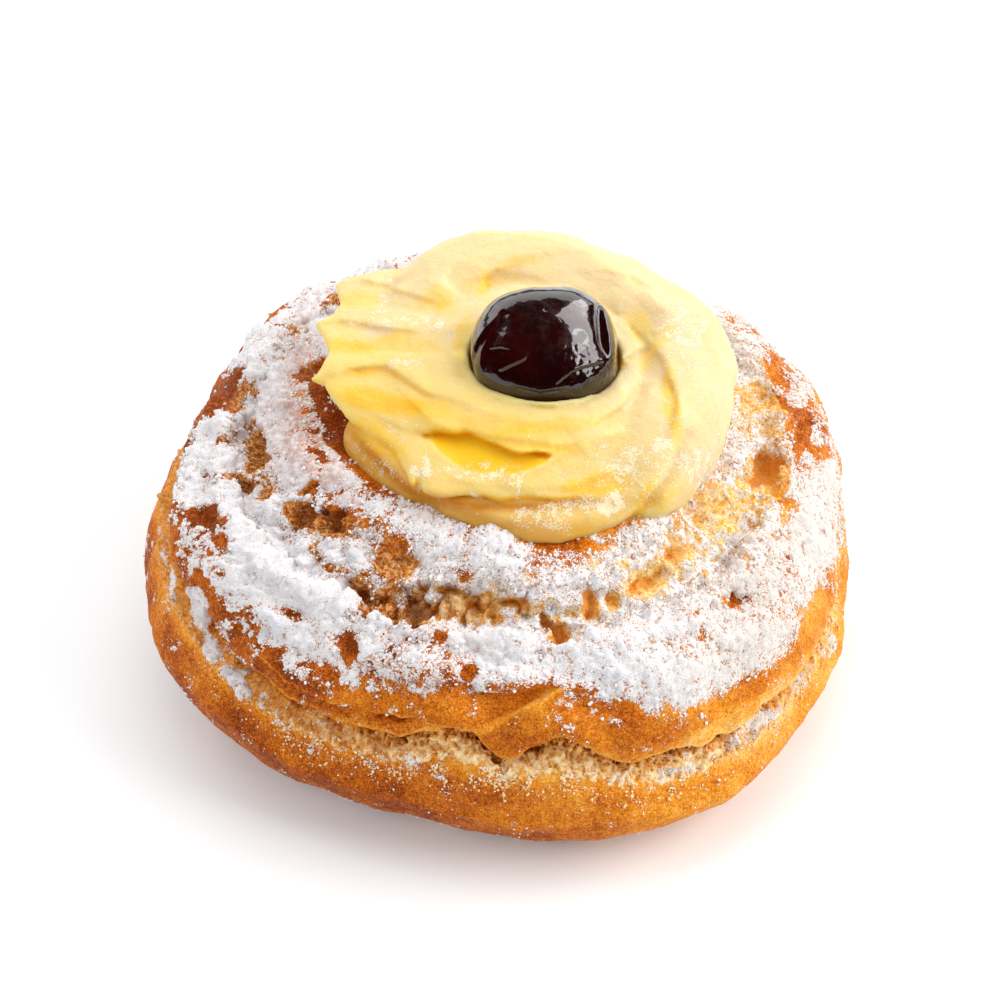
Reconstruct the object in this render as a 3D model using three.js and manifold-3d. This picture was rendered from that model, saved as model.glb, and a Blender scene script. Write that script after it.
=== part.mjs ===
// Zeppola: a baked choux ring piped in two coils, filled with a piped swirl of pastry cream
// and topped with one candied sour cherry. Three solids: pastry, cream, cherry.
// Millimetres, +Z up. The origin is the middle of the footprint, on the flat base.
import * as THREE from "three";
import { mergeVertices } from "three/addons/utils/BufferGeometryUtils.js";
import Module from "manifold-3d";

const wasm = await Module();
wasm.setup();

// ---- driving dimensions ----------------------------------------------------
const PASTRY_R = 47.8; // mean outer radius of the lower coil
const BASE_R = 35; // flat part of the underside
const SEAM_Z = 19.8; // height of the tear between the two coils, at the front
const SEAM_RISE = 5.8; // how much higher the tear lies on the left
const SEAM_FALL = 5.2; // how much lower it lies on the right
const SEAM_IN = 3.2; // how far the tear cuts in behind the lower coil
const SHOULDER_Z = 31.2; // where the upper coil turns over into the top
const FOLD_IN = 1.1; // the second fold, high on the front of the upper coil
const FOLD_AT = -108; // its middle, in degrees
const GROOVE_R = 34.6; // the torn valley between the outer and the inner turn
const GROOVE_Z = 31.6;
const CREST_R = 24.5; // the inner turn's crest, on which the cream lies
const CREST_Z = 38.4;
const DISH_Z = 30; // floor of the dish in the middle
const GAP = 0.4; // clearance between solids that touch

const CREAM_X = 4.3; // the swirl is not quite in the middle
const CREAM_Y = -0.4;
const CREAM_R = 26.2; // mean outer radius of the first turn
const FOOT_Z = 39.6; // widest height of the first turn
const CREASE_Z = 42.4; // where the second turn lies on the first
const CREASE_IN = 2.6;
const TURN_Z = 46.6; // shoulder of the second turn
const TURN_IN = 3.4;
const FURROW_R = 17.6; // the furrow that winds inward between second and third turn
const FURROW_WIND = 3.6; // how far it winds inward on the way round
const FURROW_DEEP = 1.9;
const CREST_OF_CREAM = 50;
const TEETH_AT = [149, 166, 188]; // points of the rope's cut end, in degrees
const TOOTH = [4.2, 4.0, 4.8]; // their lengths
const TOOTH_Z = 45; // their height
const RIDGES = 9; // ridges of the star nozzle, seen over the whole swirl
const RIDGE = 0.35; // their height

const CHERRY_A = 10.1; // half width
const CHERRY_B = 9.2; // half depth
const CHERRY_C = 7.6; // half height
const CHERRY_AT = [5.5, -1, 47.7];

const AROUND = 52; // facets round the pastry
const CREAM_AROUND = 68; // and round the cream
const DEG = Math.PI / 180;

// ---- small helpers ---------------------------------------------------------
const bump = (deg, centre, width) => {
  const d = (((deg - centre + 180) % 360) + 360) % 360 - 180;
  return Math.exp(-((d / width) ** 2));
};

// Catmull-Rom through named profile points, n steps a span.
function smooth(points, n) {
  const p = [points[0], ...points, points[points.length - 1]];
  const out = [];
  for (let i = 1; i < p.length - 2; i++)
    for (let k = 0; k < n; k++) {
      const t = k / n, q = [0, 1].map((c) => {
        const [a, b, d, e] = [p[i - 1][c], p[i][c], p[i + 1][c], p[i + 2][c]];
        return 0.5 * (2 * b + (d - a) * t + (2 * a - 5 * b + 4 * d - e) * t * t + (3 * b - a - 3 * d + e) * t ** 3);
      });
      out.push(q);
    }
  out.push(points[points.length - 1]);
  return out;
}

function solid(geometry) {
  geometry.deleteAttribute("normal");
  geometry.deleteAttribute("uv");
  const g = mergeVertices(geometry, 1e-4);
  return new wasm.Manifold(
    new wasm.Mesh({
      numProp: 3,
      vertProperties: new Float32Array(g.attributes.position.array),
      triVerts: new Uint32Array(g.index.array),
    }),
  );
}

function geometryOf(manifold) {
  const m = manifold.getMesh();
  const g = new THREE.BufferGeometry();
  const flat = new Float32Array(m.numVert * 3);
  for (let i = 0; i < m.numVert; i++)
    for (let c = 0; c < 3; c++) flat[3 * i + c] = m.vertProperties[i * m.numProp + c];
  g.setAttribute("position", new THREE.BufferAttribute(flat, 3));
  g.setIndex(new THREE.BufferAttribute(new Uint32Array(m.triVerts), 1));
  g.computeVertexNormals();
  return g;
}

// ---- pastry ----------------------------------------------------------------
// Out-of-round of the hand-piped ring: [turns, size, where it is widest in degrees].
const OUT_OF_ROUND = [[1, 0.019, -35], [2, 0.008, -61], [3, 0.0104, -38.5], [4, 0.0255, 27.7]];
const roundness = (deg) =>
  OUT_OF_ROUND.reduce((s, [k, a, at]) => s + a * Math.cos(k * (deg - at) * DEG), 1);
const seamZ = (deg) => SEAM_Z + SEAM_RISE * bump(deg, -164, 36) - SEAM_FALL * bump(deg, -8, 52);

// Section of the ring at one direction: the flat base, the lower coil, the tear,
// the upper coil, the valley, the inner turn and the dish.
function section(deg) {
  const s = seamZ(deg), k = roundness(deg), R = PASTRY_R * k, fold = FOLD_IN * bump(deg, FOLD_AT, 42);
  const rise = (share) => s + (SHOULDER_Z - s) * share; // up the side of the upper coil
  return smooth(
    [
      [0, 0],
      [BASE_R * k, 0],
      [R - 6.6, 1.4],
      [R - 2.2, 0.3 * s],
      [R, 0.58 * s],
      [R - 0.9, 0.86 * s],
      [R - SEAM_IN, s],
      [R - 2.6, rise(0.2)],
      [R - 3.2, rise(0.42)],
      [R - 4.3 - fold, rise(0.64)],
      [R - 5.6, rise(0.82)],
      [R - 8.4, SHOULDER_Z],
      [(GROOVE_R + 2.6) * k, GROOVE_Z + 1.3],
      [GROOVE_R * k, GROOVE_Z],
      [(GROOVE_R - 3) * k, GROOVE_Z + 2.9],
      [(CREST_R + 3.5) * k, CREST_Z - 1],
      [CREST_R * k, CREST_Z],
      [CREST_R - 4, CREST_Z - 0.8],
      [CREST_R - 9.5, DISH_Z + 4.4],
      [7, DISH_Z + 0.8],
      [0, DISH_Z],
    ],
    2,
  );
}

// Joins the sections into one closed skin. The first and the last profile point
// lie on the axis and are one vertex each.
function skin(sectionAt, around, place) {
  const rows = [], position = [], index = [];
  for (let j = 0; j < around; j++) rows.push(sectionAt((360 * j) / around - 180));
  const n = rows[0].length;
  position.push(...place(0, 0, rows[0][0][1]), ...place(0, 0, rows[0][n - 1][1]));
  const id = (j, i) => (i === 0 ? 0 : i === n - 1 ? 1 : 2 + (j % around) * (n - 2) + i - 1);
  for (let j = 0; j < around; j++)
    for (let i = 1; i < n - 1; i++) position.push(...place((360 * j) / around - 180, ...rows[j][i]));
  for (let j = 0; j < around; j++)
    for (let i = 0; i < n - 1; i++) {
      const a = id(j, i), b = id(j + 1, i), c = id(j + 1, i + 1), d = id(j, i + 1);
      if (a !== b) index.push(a, b, c);
      if (c !== d) index.push(a, c, d);
    }
  const g = new THREE.BufferGeometry();
  g.setAttribute("position", new THREE.BufferAttribute(new Float32Array(position), 3));
  g.setIndex(index);
  return g;
}

const pastryGeometry = () =>
  skin(section, AROUND, (deg, r, z) => [
    r * Math.cos(deg * DEG),
    r * Math.sin(deg * DEG),
    r < BASE_R + 2 && z < 1 ? 0 : Math.max(0, z),
  ]);

// ---- cream -----------------------------------------------------------------
// Out-of-round of the swirl: [turns, size, where it is widest in degrees].
const SWIRL_ROUND = [[1, 0.015, -40], [2, 0.035, -35], [3, 0.018, 20]];
const swirl = (deg) => SWIRL_ROUND.reduce((s, [k, a, at]) => s + a * Math.cos(k * (deg - at) * DEG), 1);
// The second turn overhangs the first in front and on the left, and melts into it elsewhere.
const creaseIn = (deg) => CREASE_IN * Math.min(1, bump(deg, -105, 62) + 0.25);
// The furrow starts under the cut end, on the left, winds inward counterclockwise and
// steps back out over the last 40 degrees, where the cut end lies on it.
const wind = (deg) => {
  const w = ((((deg + 170) % 360) + 360) % 360) / 360;
  return w < 8 / 9 ? (9 / 8) * w : (1 + Math.cos(9 * Math.PI * (w - 8 / 9))) / 2;
};

function creamSection(deg) {
  const R = CREAM_R * swirl(deg), c = creaseIn(deg), w = wind(deg);
  const furrow = FURROW_R - FURROW_WIND * w, deep = FURROW_DEEP * (1 - 0.75 * bump(deg, 168, 34));
  const tooth = TEETH_AT.reduce((s, at, i) => {
    const d = Math.abs(((((deg - at + 180) % 360) + 360) % 360) - 180);
    return Math.max(s, TOOTH[i] * Math.max(0, 1 - d / 8.5) ** 1.25);
  }, 0);
  const ridge = (phase) => RIDGE * Math.abs(Math.cos((RIDGES * (deg * DEG)) / 2 + phase));
  return smooth(
    [
      [0, DISH_Z - 2],
      [R - 6, FOOT_Z - 5.6],
      [R - 1.2, FOOT_Z - 2],
      [R, FOOT_Z],
      [R - 0.9, FOOT_Z + 1.9],
      [R - 0.8 - c, CREASE_Z],
      [R - 1.0 + 0.55 * tooth, CREASE_Z + 1.3 - 0.1 * tooth],
      [R - 0.9 + tooth, TOOTH_Z - 0.2],
      [R - 2.1 + 0.5 * tooth, TURN_Z - 0.2 + ridge(0)],
      [R - 1.6 - TURN_IN, TURN_Z + 1.2 + ridge(0.5)],
      [furrow + 2.1, CREST_OF_CREAM - 1.6 + ridge(1)],
      [furrow, CREST_OF_CREAM - 1.5 - deep],
      [furrow - 1.9, CREST_OF_CREAM - 0.5],
      [furrow - 4.6, CREST_OF_CREAM - ridge(2)],
      [8, CREST_OF_CREAM - 4],
      [0, CREST_OF_CREAM - 6],
    ],
    2,
  );
}

function creamSolid(pastry, cherry) {
  const whole = solid(
    skin(creamSection, CREAM_AROUND, (deg, r, z) => [
      CREAM_X + r * Math.cos(deg * DEG),
      CREAM_Y + r * Math.sin(deg * DEG),
      z,
    ]),
  );
  const raised = pastry.translate([0, 0, GAP]);
  const middle = CHERRY_AT, grow = 1 + (2 * GAP) / (CHERRY_B + CHERRY_C);
  const room = cherry.translate(middle.map((v) => -v)).scale(grow).translate(middle);
  const parts = whole.subtract(raised).subtract(room).decompose();
  return parts.sort((a, b) => b.volume() - a.volume())[0];
}

// ---- cherry ----------------------------------------------------------------
// A stoned, candied cherry: squat, with a dimple on top, a fold down its left side
// and a flatter right cheek.
function cherryGeometry() {
  const g = new THREE.SphereGeometry(1, 26, 14).rotateX(Math.PI / 2);
  const p = g.attributes.position, v = new THREE.Vector3();
  const fold = new THREE.Vector3(-0.86, -0.3, 0.4).normalize();
  const cheek = new THREE.Vector3(0.93, -0.2, 0.3).normalize();
  for (let i = 0; i < p.count; i++) {
    v.fromBufferAttribute(p, i).normalize();
    const dimple = 0.05 * Math.exp(-((1 - v.z) ** 2) / 0.02);
    const crease = 0.05 * Math.exp(-((1 - v.dot(fold)) ** 2) / 0.01);
    const flat = 0.06 * Math.exp(-((1 - v.dot(cheek)) ** 2) / 0.03);
    const box = 0.05 * (v.x ** 4 + v.y ** 4 + v.z ** 4 - 0.6);
    v.multiplyScalar(1 - dimple - crease - flat - box);
    p.setXYZ(i, v.x * CHERRY_A, v.y * CHERRY_B, v.z * CHERRY_C);
  }
  return g.rotateY(0.05).translate(...CHERRY_AT);
}

// ---- assembly --------------------------------------------------------------
const pastry = solid(pastryGeometry());
const cherry = solid(cherryGeometry());
const cream = creamSolid(pastry, cherry);

const finish = (color, roughness) => new THREE.MeshStandardMaterial({ color, roughness, metalness: 0 });
function piece(name, manifold, material) {
  const mesh = new THREE.Mesh(geometryOf(manifold), material);
  mesh.name = name;
  return mesh;
}

const zeppola = new THREE.Group();
zeppola.add(
  piece("pastry", pastry, finish(0xc98a48, 0.75)),
  piece("cream", cream, finish(0xf6dc8c, 0.45)),
  piece("cherry", cherry, finish(0x1d0608, 0.12)),
);
// The footprint's middle goes to the origin.
const box = new THREE.Box3().setFromObject(zeppola);
zeppola.position.set(-(box.min.x + box.max.x) / 2, -(box.min.y + box.max.y) / 2, -box.min.z);
zeppola.updateMatrixWorld(true);

export default zeppola;
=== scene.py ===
# Zeppola: baked choux ring, pastry cream, candied cherry and powdered sugar.
# Lengths below are in millimetres and become metres when a mesh is made.
import math

import bpy
import numpy as np
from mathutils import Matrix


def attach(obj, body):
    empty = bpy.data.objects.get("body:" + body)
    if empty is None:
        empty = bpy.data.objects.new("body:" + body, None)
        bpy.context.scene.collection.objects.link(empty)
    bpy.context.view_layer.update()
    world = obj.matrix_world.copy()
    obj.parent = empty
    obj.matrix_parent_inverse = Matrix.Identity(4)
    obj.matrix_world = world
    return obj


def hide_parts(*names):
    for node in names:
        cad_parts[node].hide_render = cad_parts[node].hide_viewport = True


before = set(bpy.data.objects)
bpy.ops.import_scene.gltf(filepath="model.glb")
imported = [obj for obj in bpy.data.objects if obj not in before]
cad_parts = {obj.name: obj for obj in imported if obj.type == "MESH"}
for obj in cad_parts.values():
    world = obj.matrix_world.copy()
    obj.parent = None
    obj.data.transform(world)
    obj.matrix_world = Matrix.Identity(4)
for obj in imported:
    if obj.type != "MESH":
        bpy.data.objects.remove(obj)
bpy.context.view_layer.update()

MM = 0.001
SHIFT = np.array([-0.342, 0.261, 0.0])  # the ring's own centre to the middle of the footprint
RNG = np.random.default_rng(11)
D2R = math.pi / 180

# ---------------------------------------------------------------- camera numbers
ELEVATION = 43.0
LENS = 120.0
FOCAL_PX = LENS / 36 * 1000
CAM_D = 0.1327 * FOCAL_PX
CAM_CX, CAM_CY = 501.5, 496.3
_e = ELEVATION * D2R
CAM_BACK = np.array([0.0, -math.cos(_e), math.sin(_e)])
CAM_POS = np.array([0, 0, 22.0]) + CAM_BACK * CAM_D
CAM_UP = np.array([0.0, math.sin(_e), math.cos(_e)])


def to_px(p):
    """Where a point shows in the 1000 x 1000 frame. It is used at build time only, to place details."""
    d = p - CAM_POS
    depth = -(d @ CAM_BACK)
    return CAM_CX + FOCAL_PX * d[..., 0] / depth, CAM_CY - FOCAL_PX * (d @ CAM_UP) / depth


def on_plane(x, y, z):
    """The point at height z that shows at frame position x, y."""
    d = -CAM_BACK * FOCAL_PX + np.array([1.0, 0, 0]) * (x - CAM_CX) - CAM_UP * (y - CAM_CY)
    return CAM_POS + d * (z - CAM_POS[2]) / d[2]


# ---------------------------------------------------------------- noise
_perm = np.random.default_rng(3).permutation(256)
_perm = np.concatenate([_perm, _perm, _perm])
_grad = np.array([[1, 1, 0], [-1, 1, 0], [1, -1, 0], [-1, -1, 0], [1, 0, 1], [-1, 0, 1], [1, 0, -1], [-1, 0, -1],
                  [0, 1, 1], [0, -1, 1], [0, 1, -1], [0, -1, -1], [1, 1, 0], [-1, 1, 0], [0, -1, 1], [0, -1, -1]], np.float32)


def _hash(i, j, k):
    return _perm[_perm[_perm[i & 255] + (j & 255)] + (k & 255)]


def perlin(p, size, seed=0):
    """Gradient noise, about -1..1. size is the width of its waves in mm."""
    q = np.asarray(p, np.float64) / size + np.array([17.3, 5.7, 91.1]) * (seed + 1)
    i = np.floor(q).astype(np.int64)
    f = (q - i).astype(np.float32)
    w = f * f * f * (f * (f * 6 - 15) + 10)
    out = np.zeros(q.shape[:-1], np.float32)
    for a in (0, 1):
        wa = w[..., 0] if a else 1 - w[..., 0]
        for b in (0, 1):
            wb = w[..., 1] if b else 1 - w[..., 1]
            for c in (0, 1):
                wc = w[..., 2] if c else 1 - w[..., 2]
                g = _grad[_hash(i[..., 0] + a, i[..., 1] + b, i[..., 2] + c) & 15]
                dot = (f[..., 0] - a) * g[..., 0] + (f[..., 1] - b) * g[..., 1] + (f[..., 2] - c) * g[..., 2]
                out += wa * wb * wc * dot
    return out * 1.5


def fbm(p, size, octaves=3, seed=0, gain=0.5):
    return sum(gain ** o * perlin(p, size / 2 ** o, seed + 7 * o) for o in range(octaves))


def worley(p, size, seed=0):
    """Distance to the nearest and second nearest of scattered points, in cells."""
    q = np.asarray(p, np.float64) / size + np.array([3.3, 57.7, 11.9]) * (seed + 1)
    i = np.floor(q).astype(np.int64)
    f = (q - i).astype(np.float32)
    f1 = np.full(q.shape[:-1], 9.0, np.float32)
    f2 = f1.copy()
    for a in (-1, 0, 1):
        for b in (-1, 0, 1):
            for c in (-1, 0, 1):
                h = _hash(i[..., 0] + a, i[..., 1] + b, i[..., 2] + c)
                d = ((a + (h & 7) / 7.0 - f[..., 0]) ** 2 + (b + ((h >> 3) & 7) / 7.0 - f[..., 1]) ** 2
                     + (c + (_perm[h + 31] & 7) / 7.0 - f[..., 2]) ** 2).astype(np.float32)
                f2 = np.minimum(f2, np.maximum(f1, d))
                f1 = np.minimum(f1, d)
    return np.sqrt(f1), np.sqrt(f2)


def step(x, lo, hi):
    t = np.clip((x - lo) / (hi - lo), 0, 1)
    return t * t * (3 - 2 * t)


def bump(deg, centre, width):
    d = (deg - centre + 180) % 360 - 180
    return np.exp(-((d / width) ** 2))


def near_line(u, v, points):
    """Distance in frame pixels to a polyline, and how far along it (0..1)."""
    best = np.full(u.shape, 1e9)
    along = np.zeros(u.shape)
    n = len(points) - 1
    for k in range(n):
        (x0, y0), (x1, y1) = points[k][:2], points[k + 1][:2]
        dx, dy = x1 - x0, y1 - y0
        t = np.clip(((u - x0) * dx + (v - y0) * dy) / (dx * dx + dy * dy), 0, 1)
        d = np.hypot(u - x0 - t * dx, v - y0 - t * dy)
        along = np.where(d < best, (k + t) / n, along)
        best = np.minimum(best, d)
    return best, along


def strokes(u, v, rows, soft=1.6):
    """Height in mm that the listed strokes raise or carve, by frame position."""
    h = np.zeros(u.shape)
    for pts, wl, wr, hl, hr in rows:
        reach = 7 * max(wl, wr)
        xs, ys = [p[0] for p in pts], [p[1] for p in pts]
        near = (u > min(xs) - reach) & (u < max(xs) + reach) & (v > min(ys) - reach) & (v < max(ys) + reach)
        if not near.any():
            continue
        uu, vv = u[near], v[near]
        d, t = near_line(uu, vv, pts)
        side = np.zeros(uu.shape)
        best = np.full(uu.shape, 1e9)
        for k in range(len(pts) - 1):
            (x0, y0), (x1, y1) = pts[k], pts[k + 1]
            ex, ey = x1 - x0, y1 - y0
            tt = np.clip(((uu - x0) * ex + (vv - y0) * ey) / (ex * ex + ey * ey), 0, 1)
            dd = (uu - x0 - tt * ex) ** 2 + (vv - y0 - tt * ey) ** 2
            cr = ex * (vv - y0) - ey * (uu - x0)
            side = np.where(dd < best, np.where(cr < 0, 1.0, -1.0), side)  # 1 is left of the way it goes
            best = np.minimum(best, dd)
        ends = np.sin(math.pi * np.clip(t, 0.0, 1.0)) ** 0.6
        s = d * side
        left = hl * np.exp(-((np.maximum(s, 0) / (2.2 * wl)) ** 1.5))
        right = hr * np.exp(-((np.maximum(-s, 0) / (2.2 * wr)) ** 1.5))
        g = step(s, -soft, soft)
        h[near] += (g * left + (1 - g) * right) * ends
    return h


def polygon_distance(X, Y, poly):
    """Signed distance to a closed outline, negative inside."""
    d2 = np.full(X.shape, 1e9)
    inside = np.zeros(X.shape, bool)
    n = len(poly)
    for k in range(n):
        (x0, y0), (x1, y1) = poly[k], poly[(k + 1) % n]
        ex, ey = x1 - x0, y1 - y0
        t = np.clip(((X - x0) * ex + (Y - y0) * ey) / (ex * ex + ey * ey + 1e-12), 0, 1)
        d2 = np.minimum(d2, (X - x0 - t * ex) ** 2 + (Y - y0 - t * ey) ** 2)
        crosses = ((y0 > Y) != (y1 > Y)) & (X < (x1 - x0) * (Y - y0) / (y1 - y0 + 1e-12) + x0)
        inside ^= crosses
    return np.where(inside, -1, 1) * np.sqrt(d2)


def in_ellipse(u, v, x, y, rx, ry, turn=0.0):
    """0 at the ellipse's middle, 1 on its edge."""
    c, s = math.cos(turn * D2R), math.sin(turn * D2R)
    a, b = u - x, v - y
    return np.hypot((a * c + b * s) / rx, (b * c - a * s) / ry)


# ---------------------------------------------------------------- choux ring: its form
PASTRY_R, BASE_R, SHOULDER_Z = 47.8, 35.0, 31.2
GROOVE_R, GROOVE_Z, CREST_R, CREST_Z, DISH_Z = 34.6, 31.6, 24.5, 38.4, 30.0
OUT_OF_ROUND = [(1, 0.019, -35), (2, 0.008, -61), (3, 0.0104, -38.5), (4, 0.0255, 27.7)]


def roundness(deg):
    return 1 + sum(a * np.cos(k * (deg - at) * D2R) for k, a, at in OUT_OF_ROUND)


def seam_z(deg):
    return 19.8 + 5.8 * bump(deg, -164, 36) - 5.2 * bump(deg, -8, 52)


def round_table(rows, blur=9.0):
    """A smooth periodic function of direction from (degrees, value) rows."""
    rows = sorted(((a + 180) % 360 - 180, v) for a, v in rows)
    xs = np.array([r[0] for r in rows])
    ys = np.array([r[1] for r in rows], float)
    g = np.arange(-180, 180, 0.5)
    v = np.interp(g, np.concatenate([xs - 360, xs, xs + 360]), np.tile(ys, 3))
    k = np.exp(-0.5 * ((np.arange(-80, 81) * 0.5) / blur) ** 2)
    k /= k.sum()
    v = np.convolve(np.concatenate([v[-80:], v, v[:80]]), k, "valid")
    gg, vv = np.append(g, 180), np.append(v, v[0])
    return lambda deg: np.interp(deg, gg, vv)


# The split between the turns, all round: height of the upper turn's lip, of the lower crust's edge, and how far the lip stands back.
LIP_Z = round_table([(-172, 28.5), (-165, 27.2), (-160, 26.0), (-153, 24.8), (-149, 24.0), (-143, 23.0), (-137, 22.4), (-131, 22.0), (-126, 20.8),
                     (-118, 20.2), (-110, 19.2), (-106, 19.8), (-102, 22.6), (-98, 24.4), (-95, 24.0), (-92.5, 21.0), (-90.5, 18.6), (-88.5, 19.2), (-86, 20.8),
                     (-84, 22.8), (-81.5, 24.9), (-79, 23.0), (-76, 21.2), (-72, 19.0), (-68, 18.4), (-63, 18.8), (-58, 17.4), (-53, 17.0), (-49, 17.6),
                     (-45, 17.8), (-38, 17.0), (-32, 16.6), (-25, 16.5), (-12, 16.6), (0, 16.9), (12, 17.6), (22, 19.2), (34, 19.0), (46, 21.2), (60, 21.0),
                     (74, 22.4), (88, 21.6), (100, 22.9), (112, 22.0), (126, 23.6), (140, 24.2), (152, 26.2), (164, 27.0), (176, 28.4)], 1.0)
LOW_Z = round_table([(-172, 22.2), (-165, 21.6), (-160, 21.0), (-153, 20.2), (-149, 20.0), (-143, 19.6), (-137, 18.2), (-133, 17.2), (-129, 16.1),
                     (-123, 16.4), (-116, 16.6), (-109, 16.0), (-101, 18.9), (-93, 19.4), (-87, 18.4), (-82, 19.2), (-77, 17.2), (-71, 15.6), (-63, 14.0),
                     (-55, 13.4), (-49, 13.0), (-42, 12.8), (-38, 12.0), (-30, 11.6), (-24, 12.2), (-12, 12.0), (0, 12.6), (12, 13.4), (24, 14.2),
                     (36, 15.8), (48, 16.4), (60, 17.6), (74, 17.0), (88, 18.2), (102, 17.8), (116, 18.8), (130, 18.2), (144, 19.8), (158, 20.6),
                     (170, 22.0), (178, 22.6)], 2.2)
LIP_BACK = round_table([(-172, 5.0), (-165, 4.8), (-158, 4.5), (-150, 4.6), (-143, 3.6), (-135, 2.4), (-122, 2.0), (-108, 2.6), (-100, 2.2), (-90, 3.0),
                        (-80, 1.8), (-65, 2.4), (-45, 2.2), (-25, 2.0), (0, 2.4), (40, 2.2), (80, 2.6), (120, 2.4), (150, 3.2), (170, 4.6)], 3.0)


def ring_noise(deg, size, seed):
    """Noise round the ring: size is its wave length in mm at the rim."""
    a = deg * D2R
    p = np.stack([45 * np.cos(a), 45 * np.sin(a), np.full_like(a, 3.7 * seed)], -1)
    return fbm(p, size, 2, seed)


def section(deg):
    """Profile control points for each direction: (n, K, 2)."""
    k = roundness(deg)
    R = PASTRY_R * k
    s = seam_z(deg)
    fold = 1.1 * bump(deg, -108, 42)
    ragged = 0.35 * ring_noise(deg, 5, 4)
    zl = LIP_Z(deg) + 0.30 * ring_noise(deg, 3.2, 3) + 0.22 * ring_noise(deg, 1.4, 6)
    zb = np.minimum(LOW_Z(deg) + 0.35 * ring_noise(deg, 3.6, 2), zl - 1.9)
    back = LIP_BACK(deg) + ragged
    gape = 0.8 + 0.5 * ring_noise(deg, 9, 5)  # how high the gap under the lip is
    gape = np.clip(gape, 0.35, 1.4)
    rise = lambda f: zl + (SHOULDER_Z - zl) * f
    dip = 1.0 + 0.6 * ring_noise(deg, 10, 6)
    z = np.zeros_like(deg)
    tuck = 1.2 * bump(deg, -26, 20)
    pts = [
        (z, z), (BASE_R * k, z), (R - 6.6, z + 1.4), (R - 2.2 - 0.6 * tuck, 0.3 * s), (R - tuck, 0.52 * s), (R - 0.5 - tuck, 0.8 * zb),
        (R - 1.7 - 0.8 * tuck, zb),
        (R - 3.2, zb + 0.30 * (zl - zb)),
        (R - 4.4 - 0.45 * (back - 2.4), zb + 0.62 * (zl - zb) - 0.2 * gape),
        (R - back - 3.6, zl - 1.0 * gape),
        (R - back - 0.2, zl - 0.1),
        (R - back + 0.3, zl + 0.22 * (SHOULDER_Z - zl)),
        (R - 0.8 * back - 1.2, rise(0.48)), (R - 0.55 * back - 3.0 - fold, rise(0.68)), (R - 0.3 * back - 5.0, rise(0.85)), (R - 8.6, SHOULDER_Z + z),
        ((GROOVE_R + 2.6) * k, GROOVE_Z + 1.3 + z), (GROOVE_R * k, GROOVE_Z + 0.8 - 0.8 * dip),
        ((GROOVE_R - 3) * k, GROOVE_Z + 2.9 + z), ((CREST_R + 3.5) * k, CREST_Z - 1 + z), (CREST_R * k, CREST_Z + z),
        (CREST_R - 4 + z, CREST_Z - 0.8 + z), (CREST_R - 9.5 + z, DISH_Z + 4.4 + z), (7 + z, DISH_Z + 0.8 + z), (z, DISH_Z + z),
    ]
    return np.stack([np.stack(np.broadcast_arrays(a, b), -1) for a, b in pts], 1)


# Spans of the profile, with how many rows each gets: (control points, rows).
SPANS = [(1, 2), (1, 3), (1, 7), (1, 11), (1, 11), (1, 8), (1, 10), (1, 10), (1, 9), (1, 10), (1, 9), (1, 9), (1, 8), (1, 8), (1, 8),
         (1, 8), (1, 9), (1, 10), (1, 11), (1, 9), (1, 6), (1, 4), (1, 3), (1, 2)]


def profile_weights(us):
    """Catmull-Rom weights for profile positions us, 0..K-1: a dense matrix (len(us), K)."""
    K = 25
    w = np.zeros((len(us), K))
    for r, u in enumerate(us):
        i = min(int(u), K - 2)
        t = u - i
        c = [(-t + 2 * t * t - t ** 3) / 2, (2 - 5 * t * t + 3 * t ** 3) / 2, (t + 4 * t * t - 3 * t ** 3) / 2, (t ** 3 - t * t) / 2]
        for k in range(4):
            w[r, min(max(i - 1 + k, 0), K - 1)] += c[k]
    return w


# ---------------------------------------------------------------- choux ring: holes and folds seen in front
# Pits: frame x, y, half width, half height, turn, depth in mm.
PITS = [
    (255, 454, 8, 22, 10, 1.9), (243, 486, 9, 6, 20, 1.2), (299, 514, 12, 13, 0, 2.4), (331, 521, 17, 12, -35, 2.4), (311, 491, 13, 3, -32, 1.3),
    (552, 630, 20, 8, 38, 2.4), (641, 583, 20, 12, -20, 2.2), (765, 472, 18, 20, 15, 2.3), (782, 492, 15, 9, 40, 1.8), (589, 604, 8, 12, 10, 1.5),
    (612, 600, 5, 12, -20, 1.0), (478, 608, 24, 8, 0, 1.6), (418, 612, 19, 10, 15, 2.0), (366, 600, 14, 10, 35, 1.6), (520, 602, 17, 8, -8, 1.4),
    (348, 590, 9, 13, 20, 1.2), (452, 592, 22, 7, 5, 1.0), (742, 556, 13, 5, 30, 0.9), (740, 600, 12, 5, -10, 0.9), (803, 430, 4, 16, 5, 0.8),
    (690, 586, 6, 5, 0, 0.7), (466, 670, 7, 6, 0, 0.6), (675, 553, 12, 6, 0, 0.8), (772, 540, 10, 6, 15, 0.8), (205, 518, 12, 6, 0, 0.5),
    (390, 722, 14, 4, 5, 1.2), (700, 520, 8, 5, 0, 0.7), (725, 500, 9, 5, -30, 0.7), (755, 520, 7, 6, 0, 0.6), (720, 560, 8, 4, 0, 0.6),
    (345, 648, 12, 10, 0, 0.5), (292, 612, 9, 4, 20, 0.5), (267, 496, 5, 6, 0, 0.7), (400, 560, 9, 7, 0, 0.5), (198, 715, 9, 4, 40, 0.9),
]
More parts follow.
